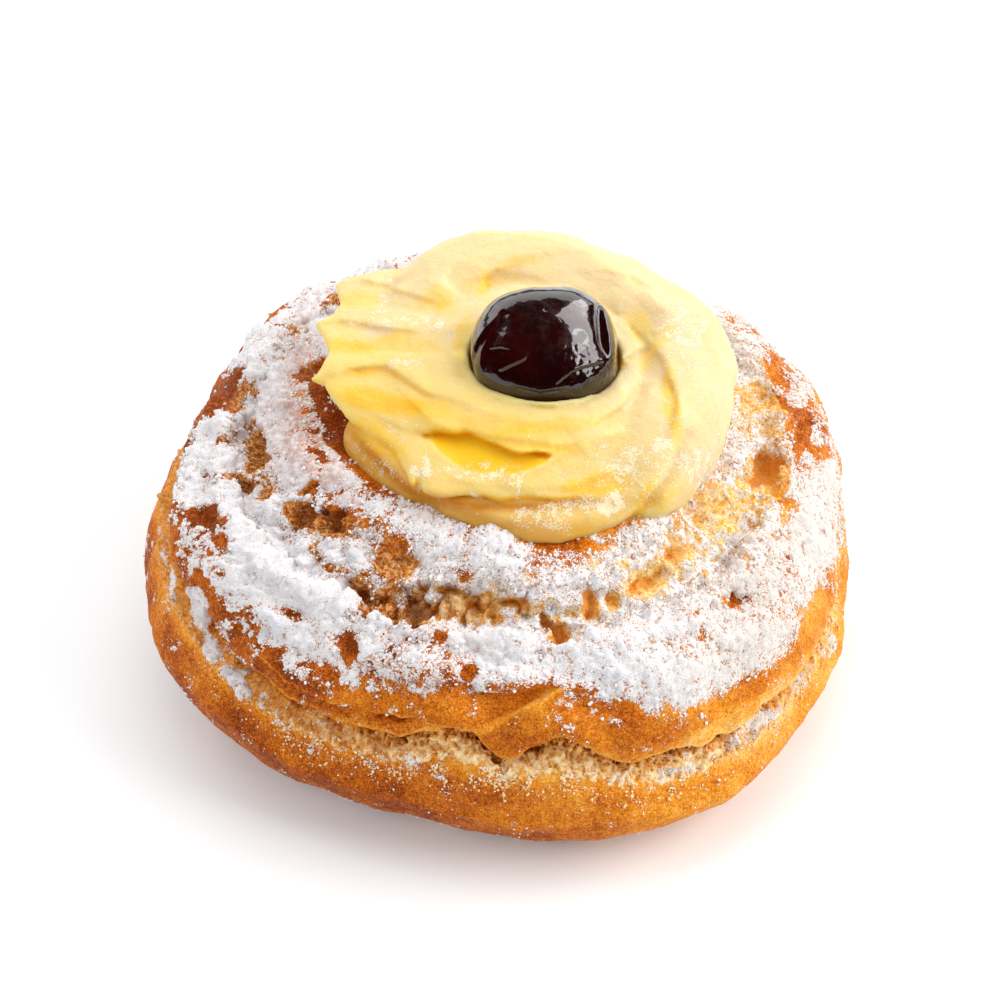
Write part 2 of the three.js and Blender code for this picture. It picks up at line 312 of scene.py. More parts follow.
# Folds: polyline in the frame, half width in pixels, depth in mm (raised if negative).
FOLDS = [
    ([(248, 648), (285, 684), (328, 703), (372, 713), (412, 718), (446, 726), (478, 732)], 10, 6, 0.7, -1.1),
    ([(566, 688), (532, 703), (508, 716), (484, 731)], 9, 7, 0.75, -1.0),
    ([(600, 775), (597, 790), (599, 806), (596, 822), (597, 836)], 2, 2, -0.20, -0.20),
    ([(448, 812), (490, 819), (530, 825), (566, 826)], 3, 4, -0.45, 0.25),
    ([(170, 690), (190, 708), (204, 722), (222, 740)], 4, 4, -0.5, 0.3),
    ([(500, 716), (520, 712), (545, 716)], 5, 4, 0.25, -0.2),
    ([(690, 745), (720, 727), (750, 706), (785, 680), (806, 655)], 6, 5, 0.35, -0.35),
]


def ring_surface(deg, us, detail=True):
    """Points of the ring's skin, with its outward normals: (n, rows, 3) each, and fields that the looks use."""
    ctrl = section(deg)
    W = profile_weights(us)
    rz = np.einsum("rk,nkc->nrc", W, ctrl)
    rz[:, us <= 1.0, 1] = 0.0
    rz[..., 1] = np.maximum(rz[..., 1], 0)
    a = (deg * D2R)[:, None]
    P = np.stack([rz[..., 0] * np.cos(a), rz[..., 0] * np.sin(a), rz[..., 1]], -1)
    # normals of the smooth form, from neighbours in the grid
    du = np.gradient(P, axis=1)
    da = np.roll(P, -1, 0) - np.roll(P, 1, 0) if len(deg) > 8 else np.zeros_like(P)
    N = np.cross(da, du)
    N /= np.maximum(np.linalg.norm(N, axis=-1, keepdims=True), 1e-9)
    u = np.broadcast_to(us, P.shape[:2])
    f = {"u": u, "deg": np.broadcast_to(deg[:, None], P.shape[:2])}
    if not detail:
        return P, N, f
    x, y = to_px(P)
    seen = step((N @ CAM_BACK), -0.05, 0.25)
    # torn places: the seam and the valley and the inner turn's flank
    nz = fbm(P, 6.0, 3, 21)
    seam = step(u, 5.9, 6.5) * (1 - step(u, 9.4, 9.9))
    valley = step(u + 0.35 * nz, 15.6, 16.3) * (1 - step(u + 0.5 * nz, 18.3, 19.2))
    pits = np.zeros_like(u, dtype=float)
    pit_d = np.zeros_like(pits)
    jx, jy = 9.0 * fbm(P, 2.6, 3, 31), 9.0 * fbm(P, 2.6, 3, 32)
    for (px, py, rx, ry, turn, depth) in PITS:
        j = 0.35 + 0.045 * min(rx, ry)
        d = in_ellipse(x + jx * j, y + jy * j, px, py, rx, ry, turn)
        m = np.clip(1.15 - d * d, 0, 1) ** 0.8 * seen
        pit_d = np.maximum(pit_d, m * depth)
        pits = np.maximum(pits, step(1.12 - d, 0, 0.5) * seen * min(1.0, 0.35 + 0.3 * depth))
    # where nobody looks, the same kind of holes, scattered
    w1, w2 = worley(P, 9.0, 41)
    back = (1 - step(-P[..., 1], -12, 4)) * step(u, 14.2, 15.2) * (1 - step(u, 19, 20))
    hole = np.clip(1 - (w1 / 0.33) ** 2, 0, 1) ** 0.6 * back
    pit_d = np.maximum(pit_d, 2.4 * hole)
    pits = np.maximum(pits, step(hole, 0, 0.3))
    h = 0.75 * fbm(P, 15, 2, 51) + 0.16 * fbm(P, 3.2, 3, 52)
    # lumpy top
    top = step(u, 12.5, 14.5) * (1 - step(u, 20.5, 21.5))
    h += top * (0.85 * fbm(P, 7.5, 3, 53) + 0.35 * (0.5 - worley(P, 2.6, 54)[0]))
    gold = (1 - step(in_ellipse(x, y, 705, 535, 120, 66, -32), 0.6, 1.2)) * seen
    w1, w2 = worley(P, 1.9, 55)
    h -= 0.55 * gold * step(0.55 - w1, 0.0, 0.4) - 0.15 * gold
    # crumb
    torn = np.clip(np.maximum(seam, 0.85 * valley), 0, 1)
    ridged = 1 - np.abs(perlin(P * np.array([1, 1, 0.45]), 1.5, 61)) * 2
    h += torn * (0.75 * fbm(P, 2.4, 3, 62) + 0.30 * ridged)
    trench = (1 - step(in_ellipse(x + jx, y + jy, 455, 604, 112, 19, 3), 0.45, 1.1)) * seen
    w1, w2 = worley(P * np.array([1, 1, 1.3]), 2.2, 83)
    crack = w2 - w1
    h -= trench * (1.1 + 0.9 * (1 - step(w2 - w1, 0.0, 0.28)) - 0.9 * fbm(P, 1.8, 3, 84))
    h += strokes(x + jx * 0.25, y + jy * 0.25, FOLDS, 2.2) * seen * ((u > 9.7) & (u < 15.5) | (u < 6.2))
    h -= pit_d
    flat = step(u, 1.0, 2.2)  # nothing stands below the base
    under = 1 - 0.8 * step(u, 21, 22.5)  # beneath the cream
    h = h * flat * under
    keep = step(u, 0.9, 1.6)
    P2 = P + N * h[..., None] * keep[..., None]
    P2[..., 2] = np.maximum(P2[..., 2], 0.0)
    P2[:, us <= 1.0, 2] = 0.0
    valley = np.maximum(valley, trench)
    pin = (1 - step(worley(P, 2.3, 79)[0], 0.10, 0.27)) * (1 - step(in_ellipse(x, y, 722, 562, 96, 56, -25), 0.6, 1.2)) * seen
    P2 = P2 - N * (0.5 * pin)[..., None]
    cell = trench * (step(crack, 0.0, 0.3) - 0.6)
    f.update(cell=cell, pin=pin, torn=torn, pits=pits, seen=seen, x=x, y=y, h=h, nz=nz, valley=valley, seam=seam, gold=gold)
    return P2, N, f


def spaced(n, dense_at=-90.0, extra=0.28):
    """Directions round the ring, closer together in front."""
    t = np.arange(n) / n
    # warp: density 1 + extra*cos(a - dense_at)
    g = np.linspace(-180, 180, 7201)
    dens = 1 + extra * np.cos((g - dense_at) * D2R)
    cum = np.concatenate([[0], np.cumsum((dens[1:] + dens[:-1]) / 2)])
    cum /= cum[-1]
    return np.interp(t, cum, g)


def row_positions():
    us, at = [], 0.0
    for span, rows in SPANS:
        us += [at + span * k / rows for k in range(rows)]
        at += span
    return np.array(us + [at])


# ---------------------------------------------------------------- mesh making
def new_mesh(name, verts_mm, faces, attributes=None, smooth=True):
    me = bpy.data.meshes.new(name)
    v = (np.asarray(verts_mm, np.float64) + SHIFT) * MM
    faces = np.asarray(faces, np.int32)
    me.vertices.add(len(v))
    me.vertices.foreach_set("co", v.astype(np.float32).ravel())
    n = faces.shape[1]
    me.loops.add(faces.size)
    me.loops.foreach_set("vertex_index", faces.ravel())
    me.polygons.add(len(faces))
    me.polygons.foreach_set("loop_start", np.arange(0, faces.size, n, dtype=np.int32))
    if smooth:
        me.polygons.foreach_set("use_smooth", np.ones(len(faces), bool))
    me.update(calc_edges=True)
    me.validate()
    for key, values in (attributes or {}).items():
        at = me.attributes.new(key, "FLOAT", "POINT")
        at.data.foreach_set("value", np.asarray(values, np.float32).ravel())
    ob = bpy.data.objects.new(name, me)
    bpy.context.scene.collection.objects.link(ob)
    return ob


def grid_faces(n, rows, closed=True, flip=False):
    j, i = np.meshgrid(np.arange(n if closed else n - 1), np.arange(rows - 1), indexing="ij")
    a = j * rows + i
    b = ((j + 1) % n) * rows + i
    q = np.stack([a, b, b + 1, a + 1], -1).reshape(-1, 4)
    return q[:, ::-1] if flip else q


def closed_ring_mesh(P):
    """Grid (n, rows, 3) whose first and last rows are single points on the axis."""
    n, rows = P.shape[:2]
    inner = P[:, 1:-1].reshape(-1, 3)
    verts = np.concatenate([inner, P[:1, 0], P[:1, -1]])
    m = rows - 2
    quads = grid_faces(n, m)
    b, t = len(inner), len(inner) + 1
    j = np.arange(n)
    k = (j + 1) % n
    low = np.stack([np.full(n, b), k * m, j * m], -1)
    high = np.stack([j * m + m - 1, k * m + m - 1, np.full(n, t)], -1)
    tri = np.concatenate([quads[:, [0, 1, 2]], quads[:, [0, 2, 3]], low, high])
    return verts, tri


def ring_values(v):
    return np.concatenate([v[:, 1:-1].reshape(-1), v[:1, 0], v[:1, -1]])


# ---------------------------------------------------------------- node helpers
class Nodes:
    def __init__(self, name):
        self.mat = bpy.data.materials.new(name)
        self.mat.use_nodes = True
        self.t = self.mat.node_tree
        self.t.nodes.clear()
        self.out = self.t.nodes.new("ShaderNodeOutputMaterial")
        self.bsdf = self.t.nodes.new("ShaderNodeBsdfPrincipled")
        self.t.links.new(self.bsdf.outputs[0], self.out.inputs[0])

    def put(self, socket, value):
        if isinstance(value, bpy.types.NodeSocket):
            self.t.links.new(value, socket)
        elif value is not None:
            socket.default_value = value

    def attr(self, name):
        n = self.t.nodes.new("ShaderNodeAttribute")
        n.attribute_name = name
        return n.outputs["Fac"]

    def coords(self):
        n = self.t.nodes.new("ShaderNodeTexCoord")
        return n.outputs["Object"]

    def noise(self, scale, detail=3.0, rough=0.5, distort=0.0, vec=None):
        n = self.t.nodes.new("ShaderNodeTexNoise")
        n.inputs["Scale"].default_value = scale
        n.inputs["Detail"].default_value = detail
        n.inputs["Roughness"].default_value = rough
        n.inputs["Distortion"].default_value = distort
        self.put(n.inputs["Vector"], vec or self.coords())
        return n.outputs["Fac"]

    def voronoi(self, scale, feature="F1", vec=None, randomness=1.0):
        n = self.t.nodes.new("ShaderNodeTexVoronoi")
        n.feature = feature
        n.inputs["Scale"].default_value = scale
        n.inputs["Randomness"].default_value = randomness
        self.put(n.inputs["Vector"], vec or self.coords())
        return n.outputs["Distance"]

    def math(self, op, a, b=0.0, c=0.0, clamp=False):
        n = self.t.nodes.new("ShaderNodeMath")
        n.operation = op
        n.use_clamp = clamp
        self.put(n.inputs[0], a)
        self.put(n.inputs[1], b)
        self.put(n.inputs[2], c)
        return n.outputs[0]

    def ramp(self, fac, stops, interp="LINEAR"):
        n = self.t.nodes.new("ShaderNodeValToRGB")
        n.color_ramp.interpolation = interp
        el = n.color_ramp.elements
        while len(el) < len(stops):
            el.new(0.5)
        for e, (p, c) in zip(el, stops):
            e.position = p
            e.color = c if len(c) == 4 else (*c, 1.0)
        self.put(n.inputs[0], fac)
        return n.outputs[0]

    def smooth(self, x, lo, hi, a=0.0, b=1.0):
        n = self.t.nodes.new("ShaderNodeMapRange")
        n.interpolation_type = "SMOOTHSTEP"
        self.put(n.inputs[0], x)
        n.inputs[1].default_value = lo
        n.inputs[2].default_value = hi
        n.inputs[3].default_value = a
        n.inputs[4].default_value = b
        return n.outputs[0]

    def mix(self, fac, a, b, mode="MIX"):
        n = self.t.nodes.new("ShaderNodeMix")
        n.data_type = "RGBA"
        n.blend_type = mode
        self.put(n.inputs[0], fac)
        self.put(n.inputs[6], a if isinstance(a, bpy.types.NodeSocket) else (*a[:3], 1.0))
        self.put(n.inputs[7], b if isinstance(b, bpy.types.NodeSocket) else (*b[:3], 1.0))
        return n.outputs[2]

    def bump(self, height, distance, strength=1.0, normal=None):
        n = self.t.nodes.new("ShaderNodeBump")
        n.inputs["Strength"].default_value = strength
        n.inputs["Distance"].default_value = distance
        self.put(n.inputs["Height"], height)
        if normal is not None:
            self.put(n.inputs["Normal"], normal)
        return n.outputs[0]

    def set(self, **values):
        for key, v in values.items():
            self.put(self.bsdf.inputs[key.replace("_", " ")], v)


def lin(r, g, b):
    """0..255 display colour to linear."""
    f = lambda c: c / 12.92 if c <= 0.04045 else ((c + 0.055) / 1.055) ** 2.4
    return tuple(f(c / 255) for c in (r, g, b))


# ---------------------------------------------------------------- sugar cover
# The powdered area as it shows, and within it where the powder lies thicker (+) or is missing (-):
# x, y, half width, half height, turn, amount.
SUGAR_AREA = [(250, 385), (222, 398), (200, 425), (188, 450), (178, 480), (174, 505), (180, 532), (188, 560), (203, 578), (215, 600),
              (235, 622), (258, 640), (285, 655), (315, 664), (345, 682), (372, 697), (400, 697), (430, 703), (455, 700), (480, 692),
              (510, 690), (540, 682), (556, 690), (575, 700), (600, 704), (630, 708), (660, 717), (690, 712), (720, 702), (745, 690),
              (770, 672), (790, 655), (803, 632), (810, 610), (818, 592), (835, 575), (848, 545), (856, 515), (860, 470), (850, 420),
              (830, 380), (790, 330), (740, 290), (600, 100), (300, 100), (200, 330)]
SUGAR_MORE = [
    (215, 424, 26, 10, -10, 0.5), (215, 460, 30, 14, 10, 0.5), (196, 492, 20, 16, 0, 0.5), (245, 510, 34, 16, 35, 0.5), (262, 570, 48, 36, 30, 0.6),
    (320, 600, 44, 26, 40, 0.5), (300, 635, 46, 16, 25, 0.4), (285, 430, 20, 75, -12, 0.55), (265, 350, 22, 34, 20, 0.4), (310, 330, 26, 16, -20, 0.45),
    (345, 545, 30, 22, 20, 0.35), (435, 545, 34, 28, 0, 0.35), (498, 550, 34, 24, 10, 0.5), (400, 600, 14, 9, 0, 0.55), (440, 650, 90, 22, 10, 0.5),
    (520, 655, 50, 28, 0, 0.45), (640, 665, 80, 36, 10, 0.5), (740, 640, 55, 34, -30, 0.5), (690, 610, 40, 22, -15, 0.35), (815, 520, 24, 66, 0, 0.5),
    (430, 598, 10, 7, 0, 0.9), (470, 588, 12, 6, 0, 0.7), (505, 613, 9, 6, 0, 0.8), (380, 618, 10, 7, 0, 0.8), (350, 606, 9, 7, 0, 0.7), (528, 598, 9, 7, 0, 0.8), (577, 624, 9, 6, 0, 0.8), (620, 575, 10, 7, 0, 0.6), (545, 590, 14, 7, 0, 0.5), (632, 545, 36, 14, -10, 0.35), (597, 590, 10, 8, 0, 0.4),
    (222, 405, 24, 10, -20, -0.45), (205, 517, 17, 11, 0, -0.8), (228, 545, 14, 10, 30, -0.4), (256, 457, 9, 18, 10, -0.9), (246, 484, 10, 6, 20, -0.5),
    (268, 495, 7, 9, 0, -0.5), (300, 515, 13, 14, 0, -1.0), (331, 522, 17, 13, -35, -1.0), (310, 490, 12, 4, -30, -0.8), (292, 612, 22, 8, 10, -0.4),
    (345, 648, 15, 17, 20, -0.55), (470, 672, 9, 8, 0, -0.8), (442, 634, 9, 5, 0, -0.6), (395, 562, 22, 24, 0, -0.5), (362, 593, 14, 16, 0, -0.7),
    (455, 606, 88, 15, 3, -0.72), (556, 631, 14, 12, 40, -1.0), (590, 604, 8, 12, 0, -0.7), (641, 583, 22, 15, -20, -0.9), (612, 602, 5, 10, 0, -0.5),
    (700, 525, 60, 32, -35, -0.46), (776, 575, 44, 32, 0, 0.35), (765, 480, 26, 26, 0, -1.1), (792, 510, 10, 9, 0, -0.9), (758, 370, 30, 50, 0, -0.35),
    (765, 415, 26, 26, 0, -0.25), (803, 430, 6, 20, 5, -0.8), (820, 455, 14, 6, 30, -0.5), (735, 600, 14, 5, 20, -0.4), (660, 505, 60, 10, -25, -0.4),
    (400, 491, 100, 5, 22, -0.4), (560, 545, 60, 6, 0, -0.4), (330, 412, 10, 38, -28, -1.2), (340, 436, 6, 22, -20, -0.9), (334, 442, 7, 13, -40, -1.2), (347, 456, 12, 6, 40, -0.7), (322, 364, 5, 12, 0, -0.4), (322, 420, 16, 50, -20, 0.30), (330, 470, 20, 16, 30, 0.35), (360, 495, 30, 12, 30, 0.2), (395, 515, 50, 12, 15, 0.2), (600, 560, 26, 18, 0, -0.2), (300, 440, 26, 46, -12, -0.25), (425, 650, 60, 16, 8, -0.25), (350, 625, 20, 14, 30, -0.2),
]
# Powder that has fallen on the lower turn and into the split.
SUGAR_LOW = [
    (162, 548, 4, 20, -5, 0.55), (172, 585, 5, 26, -8, 0.5), (163, 605, 8, 10, 0, 0.35), (198, 608, 9, 22, -15, 0.9), (210, 645, 10, 18, -20, 0.8),
    (236, 686, 10, 22, -25, 0.7), (262, 700, 8, 10, 0, 0.4), (150, 590, 5, 16, 0, 0.2), (410, 768, 46, 12, 8, 0.32), (505, 780, 28, 8, 15, 0.36),
    (330, 752, 40, 10, 12, 0.25), (640, 782, 40, 6, 0, 0.3), (682, 770, 26, 6, -8, 0.35), (742, 735, 26, 9, -35, 0.5), (700, 757, 20, 6, -10, 0.3), (826, 645, 8, 15, 10, 0.6), (800, 684, 18, 7, -52, 0.45), (770, 716, 16, 7, -38, 0.5),
    (640, 715, 90, 12, 5, 0.22), (520, 705, 20, 6, -30, 0.12), (250, 672, 30, 12, 40, 0.15), (560, 725, 70, 10, 0, 0.10), (830, 590, 8, 12, 0, 0.35),
    (350, 690, 60, 10, 15, 0.15),
]


def blots(x, y, rows):
    out = np.zeros(x.shape)
    for (px, py, rx, ry, turn, amount) in rows:
        out += amount * (1 - step(in_ellipse(x, y, px, py, rx, ry, turn), 0.55, 1.35))
    return out


def sugar_amount(P, f):
    """How much powder lies on the ring's skin: below 0 none, 1 a thick clumped coat."""
    u, deg, x, y, seen = f["u"], f["deg"], f["x"], f["y"], f["seen"]
    n1 = fbm(P, 7, 3, 71)
    n2 = fbm(P, 2.6, 3, 72)
    # seen side: the outline in the frame
    d = polygon_distance(x + 5 * n2, y + 5 * n1, np.array(SUGAR_AREA, float))
    front = step(-d, -7, 9) * 0.46 + blots(x + 3 * n2, y + 3 * n1, SUGAR_MORE) * step(-d, -6, 6)
    front = front * step(u, 10.4, 10.8)
    low = blots(x + 3 * n1, y + 3 * n2, SUGAR_LOW)
    # far side: the same band, from the shoulder to the cream
    edge = 13.0 + 0.8 * ring_noise(deg[:, 0], 9, 8)[:, None]
    rear = 0.62 * step(u, edge - 0.9, edge + 1.2) + 0.35 * n1 * step(u, 12, 14)
    facing = f["seen"] * step(-P[..., 1] + 0.6 * (P[..., 2] - 25) * 0, -22, -4)
    amount = facing * np.maximum(front, low) + (1 - facing) * rear
    n3 = fbm(P, 1.15, 2, 73)
    amount = amount * (1 - step(u, 20.6, 21.4)) + 0.20 * n1 + 0.26 * n2 + 0.16 * n3 - 0.6 * f["pits"] - 1.1 * f["pin"]
    thick = 0.32 + 0.52 * step(-x, -420, -300) - 0.05 * step(x, 640, 780)
    return amount, thick


def sugar_relief(P, amount, thick):
    """Height of the powder over the crust in mm, below 0 where there is none."""
    big = 1.1 - 1.25 * worley(P, 2.1, 75)[0]
    mid = 1.1 - 1.3 * worley(P, 0.95, 76)[0]
    fine = fbm(P, 0.6, 2, 77)
    a = np.clip(amount, -0.5, 1.25)
    h = a * (0.24 + 0.80 * thick * big + (0.30 + 0.2 * thick) * mid) - 0.36 * (1 - 0.6 * np.clip(a, 0, 1)) + 0.20 * fine
    return h


def components(faces, n):
    """Number of the connected part that each vertex belongs to."""
    label = np.arange(n)
    while True:
        low = label[faces].min(1)
        new = label.copy()
        for k in range(3):
            np.minimum.at(new, faces[:, k], low)
        new = new[new]
        if (new == label).all():
            return label
        label = new


def build_sugar(lo=11.2, hi=21.5, length=34.5, gap=0.265):
    gap = gap
    n = int(2 * math.pi * 40.5 / gap)
    rows = int(length / gap)
    deg = spaced(n, extra=0.10)
    # rows by length along the profile
    t = np.linspace(lo, hi, 400)
    Q, _, _ = ring_surface(deg[:: max(1, n // 40)], t, detail=False)
    run = np.concatenate([[0], np.cumsum(np.linalg.norm(np.diff(Q, axis=1), axis=-1).mean(0))])
    us = np.interp(np.linspace(0, run[-1], rows), run, t)
    P, N, f = ring_surface(deg, us)
    da = np.roll(P, -1, 0) - np.roll(P, 1, 0)
    M = np.cross(da, np.gradient(P, axis=1))
    M /= np.maximum(np.linalg.norm(M, axis=-1, keepdims=True), 1e-9)
    amount, thick = sugar_amount(P, f)
    if hi < 12:  # only a dusting in front
        amount = amount - 0.20 * step(f["x"], 290, 370) * (1 - step(f["x"], 690, 730))
    h = sugar_relief(P, amount, thick)
    rim = step(np.arange(rows), 0, 2) * step(np.arange(rows)[::-1], 0, 2)
    h = h * rim - 0.3 * (1 - rim)
    h = np.maximum(h, -0.3)
    V = (P + (0.7 * N + 0.3 * M) * h[..., None]).reshape(-1, 3)
    q = grid_faces(n, rows)
    keep = (h.reshape(-1)[q] > -0.05).any(1)
    q = q[keep]
    tri = np.concatenate([q[:, [0, 1, 2]], q[:, [0, 2, 3]]])
    lab = components(tri, len(V))
    size = np.bincount(lab[tri[:, 0]], minlength=len(V))
    tri = tri[size[lab[tri[:, 0]]] >= 10]
    used, inv = np.unique(tri, return_inverse=True)
    # a pinkish-lilac tint on the upper left and beside the cream: painted shade
    painted_shade_tints = blots(f["x"], f["y"], [(312, 440, 22, 44, -12, 1.0), (330, 470, 14, 20, -30, 0.8), (306, 370, 20, 60, 0, 0.7), (285, 440, 26, 50, -10, 0.5), (340, 495, 26, 10, 25, 0.5),
                                  (255, 500, 14, 40, 0, 0.35), (395, 560, 30, 26, 0, 0.3), (440, 640, 60, 14, 8, 0.2)]) * f["seen"]
    thin = 1 - step(h, 0.02, 0.55)
    # painted light: warmer, lower-contrast powder on the lit right side and in the gold zone
    painted_warm_light = np.maximum(step(f["x"], 600, 780), f["gold"]) * f["seen"]
    return V[used], inv.reshape(tri.shape), (P, N, amount, h, f), {"painted_shade_tints": np.clip(painted_shade_tints, 0, 1).reshape(-1)[used], "thin": thin.reshape(-1)[used],
                                                                   "painted_warm_light": painted_warm_light.reshape(-1)[used]}


def sugar_material(name="powdered_sugar", over_crust=True):
    m = Nodes(name)
    low, high = ((223, 219, 223), (248, 246, 247)) if over_crust else ((248, 246, 246), (255, 254, 252))
    grain = m.noise(4200, 2, 0.7)
    clump = m.noise(1100, 3, 0.65)
    col = m.ramp(grain, [(0.3, lin(*low)), (0.6, lin(*high))])
    if over_crust:
        # cool bluish-grey patches scattered by noise: painted shade
        col = m.mix(m.smooth(m.noise(150, 3, 0.6), 0.52, 0.66, 0.0, 0.4), col, lin(206, 212, 220))
    if over_crust:
        # warm tint of the light on the right side: painted light
        col = m.mix(m.math("MULTIPLY", m.attr("painted_warm_light"), 0.8), col, m.ramp(grain, [(0.3, lin(228, 216, 202)), (0.6, lin(237, 230, 224))]))
        # pinkish-brown tint where the mask lies: painted shade
        pink_shade_patch = m.math("MULTIPLY", m.attr("painted_shade_tints"), m.smooth(clump, 0.3, 0.65))
        col = m.mix(m.math("MULTIPLY", pink_shade_patch, 0.85), col, lin(206, 160, 142))
        k = m.math("ADD", m.math("MULTIPLY", m.noise(3600, 1, 0.7), 0.65), m.math("MULTIPLY", m.noise(1300, 3, 0.65), 0.55))
        k = m.math("ADD", k, m.math("MULTIPLY", m.attr("thin"), 0.17))
        col = m.mix(m.math("MULTIPLY", m.smooth(k, 0.76, 0.84), 0.85), col, m.ramp(clump, [(0.3, lin(176, 100, 44)), (0.7, lin(222, 150, 82))]))
    height = m.math("ADD", m.math("MULTIPLY", grain, 0.8), clump)
    m.set(Base_Color=col, Roughness=m.smooth(clump, 0.3, 0.7, 0.8, 0.97), Normal=m.bump(height, 0.0003, 0.9))
    m.bsdf.inputs["Specular IOR Level"].default_value = 0.15
    m.bsdf.inputs["Subsurface Weight"].default_value = 0.2 if over_crust else 0.0
    m.bsdf.inputs["Subsurface Radius"].default_value = (0.0006, 0.0006, 0.0006)
    m.bsdf.inputs["Subsurface Scale"].default_value = 0.6
    return m.mat


def scatter(points, normals, radii, seed, flat=0.8, sink=0.25):
    """Small uneven lumps joined into one mesh."""
    g = (1 + 5 ** 0.5) / 2
    v = np.array([(-1, g, 0), (1, g, 0), (-1, -g, 0), (1, -g, 0), (0, -1, g), (0, 1, g), (0, -1, -g), (0, 1, -g), (g, 0, -1), (g, 0, 1), (-g, 0, -1), (-g, 0, 1)], float)
    v /= np.linalg.norm(v[0])
    t = np.array([(0, 11, 5), (0, 5, 1), (0, 1, 7), (0, 7, 10), (0, 10, 11), (1, 5, 9), (5, 11, 4), (11, 10, 2), (10, 7, 6), (7, 1, 8),
                  (3, 9, 4), (3, 4, 2), (3, 2, 6), (3, 6, 8), (3, 8, 9), (4, 9, 5), (2, 4, 11), (6, 2, 10), (8, 6, 7), (9, 8, 1)])
    rng = np.random.default_rng(seed)
    n = len(points)
    jit = 1 + rng.uniform(-0.3, 0.3, (n, 12, 1))
    axes = np.linalg.qr(rng.normal(size=(n, 3, 3)))[0]
    stretch = rng.uniform(0.75, 1.2, (n, 1, 3))
    pts = np.einsum("nkc,ncd->nkd", v[None] * jit * stretch, axes) * radii[:, None, None]
    pts = pts + (points + normals * (radii * (1 - sink))[:, None])[:, None, :]
    faces = t[None] + 12 * np.arange(n)[:, None, None]
    return pts.reshape(-1, 3), faces.reshape(-1, 3)


def build_ring():
    us = row_positions()
    deg = spaced(540, extra=0.46)
    P, N, f = ring_surface(deg, us)
    amount, _ = sugar_amount(P, f)
    u, z, x, y = f["u"], P[..., 2], f["x"], f["y"]
    P = P - N * (0.5 * step(u, 6.2, 6.7) * (1 - step(u, 9.0, 9.5)))[..., None]  # room for the crumb
    # how brown the crust is, with painted light and shade mixed in: painted shade on the left and painted light at the
    # right, where the key light falls; browner on the shoulders, pale in tears
    browning_and_painted_light = 0.66 + 0.14 * f["nz"] + 0.10 * fbm(P, 20, 2, 81)
    lit = step(P[..., 0] + 0.12 * P[..., 1], -30, 36)
    browning_and_painted_light = browning_and_painted_light + 0.16 * (1 - lit) - 0.25 * lit
    browning_and_painted_light += 0.10 * step(u, 12.5, 14.5) * (1 - step(u, 17, 18))
    browning_and_painted_light += 0.09 * step(u, 10.6, 11.3) * step(x, 440, 560) - 0.04 * bump(u, 4.9, 0.6) + 0.07 * (1 - step(u, 3.6, 4.4))
    browning_and_painted_light -= 0.30 * step(u, 5.2, 6.1) * (1 - step(u, 9.6, 10.6))
    browning_and_painted_light -= 0.22 * f["seam"]
    browning_and_painted_light -= 0.12 * (1 - step(z, 0.5, 3.0)) * (0.5 + 0.5 * ring_noise(deg, 6, 12)[:, None])
    browning_and_painted_light -= 0.16 * f["valley"] * (1 - step(-x, -480, -380))
    gold = np.maximum(f["gold"], 0.7 * f["valley"] * step(x, 380, 460))
    browning_and_painted_light -= 0.20 * gold
    # darker inside the pits: painted shade
    browning_and_painted_light += 0.16 * f["pits"] - 0.10 * gold * f["pits"]
    # painted shadow in the strip beside the cream's left edge
    browning_and_painted_light += 0.42 * blots(x, y, [(327, 414, 13, 40, -28, 1.0), (350, 452, 16, 6, 40, 0.7)]) * f["seen"]
    # darker low on the front of the lower turn: painted shade
    browning_and_painted_light += 0.12 * blots(x, y, [(742, 782, 60, 24, 24, 1.0), (450, 802, 80, 22, -6, 0.8)]) * f["seen"]
    # darker in the pinholes and the left pits: painted shade
    browning_and_painted_light += 0.25 * f["pin"] + 0.22 * f["pits"] * (1 - step(x, 380, 480))
    # a painted highlight along the lip and the folds, painted shade in the crack
    browning_and_painted_light -= 0.26 * np.exp(-((u - 10.0) / 0.38) ** 2) * f["seen"]
    for line, painted_light, side in (((FOLDS[0][0]), 0.30, 3.2), ((FOLDS[1][0]), 0.34, 3.2), ((FOLDS[2][0]), -0.14, 2.2), ((FOLDS[6][0]), 0.2, 5)):
        d, _ = near_line(x, y, line)
        browning_and_painted_light -= painted_light * np.exp(-(d / side) ** 2) * f["seen"] * ((u > 9.7) & (u < 15.5) | (u < 6.2))
    verts, tris = closed_ring_mesh(P)
    ob = new_mesh("choux_ring", verts, tris, {
        "browning_and_painted_light": ring_values(np.clip(browning_and_painted_light, 0, 1)),
        "torn": ring_values(np.clip(np.maximum(f["seam"], 0.7 * f["valley"]) + 0.3 * gold, 0, 1)),
        "dust": ring_values(np.clip(amount - 0.12 * (1 - step(u, 9.5, 10.5)) + 0.42 * gold * (1 - f["pits"]), -1, 2)),
        "cave": ring_values(f["pits"] * (0.5 + 0.5 * step(x, 430, 540))),
        "gold": ring_values(gold),
        "cell": ring_values(f["cell"]),
    })
    return ob


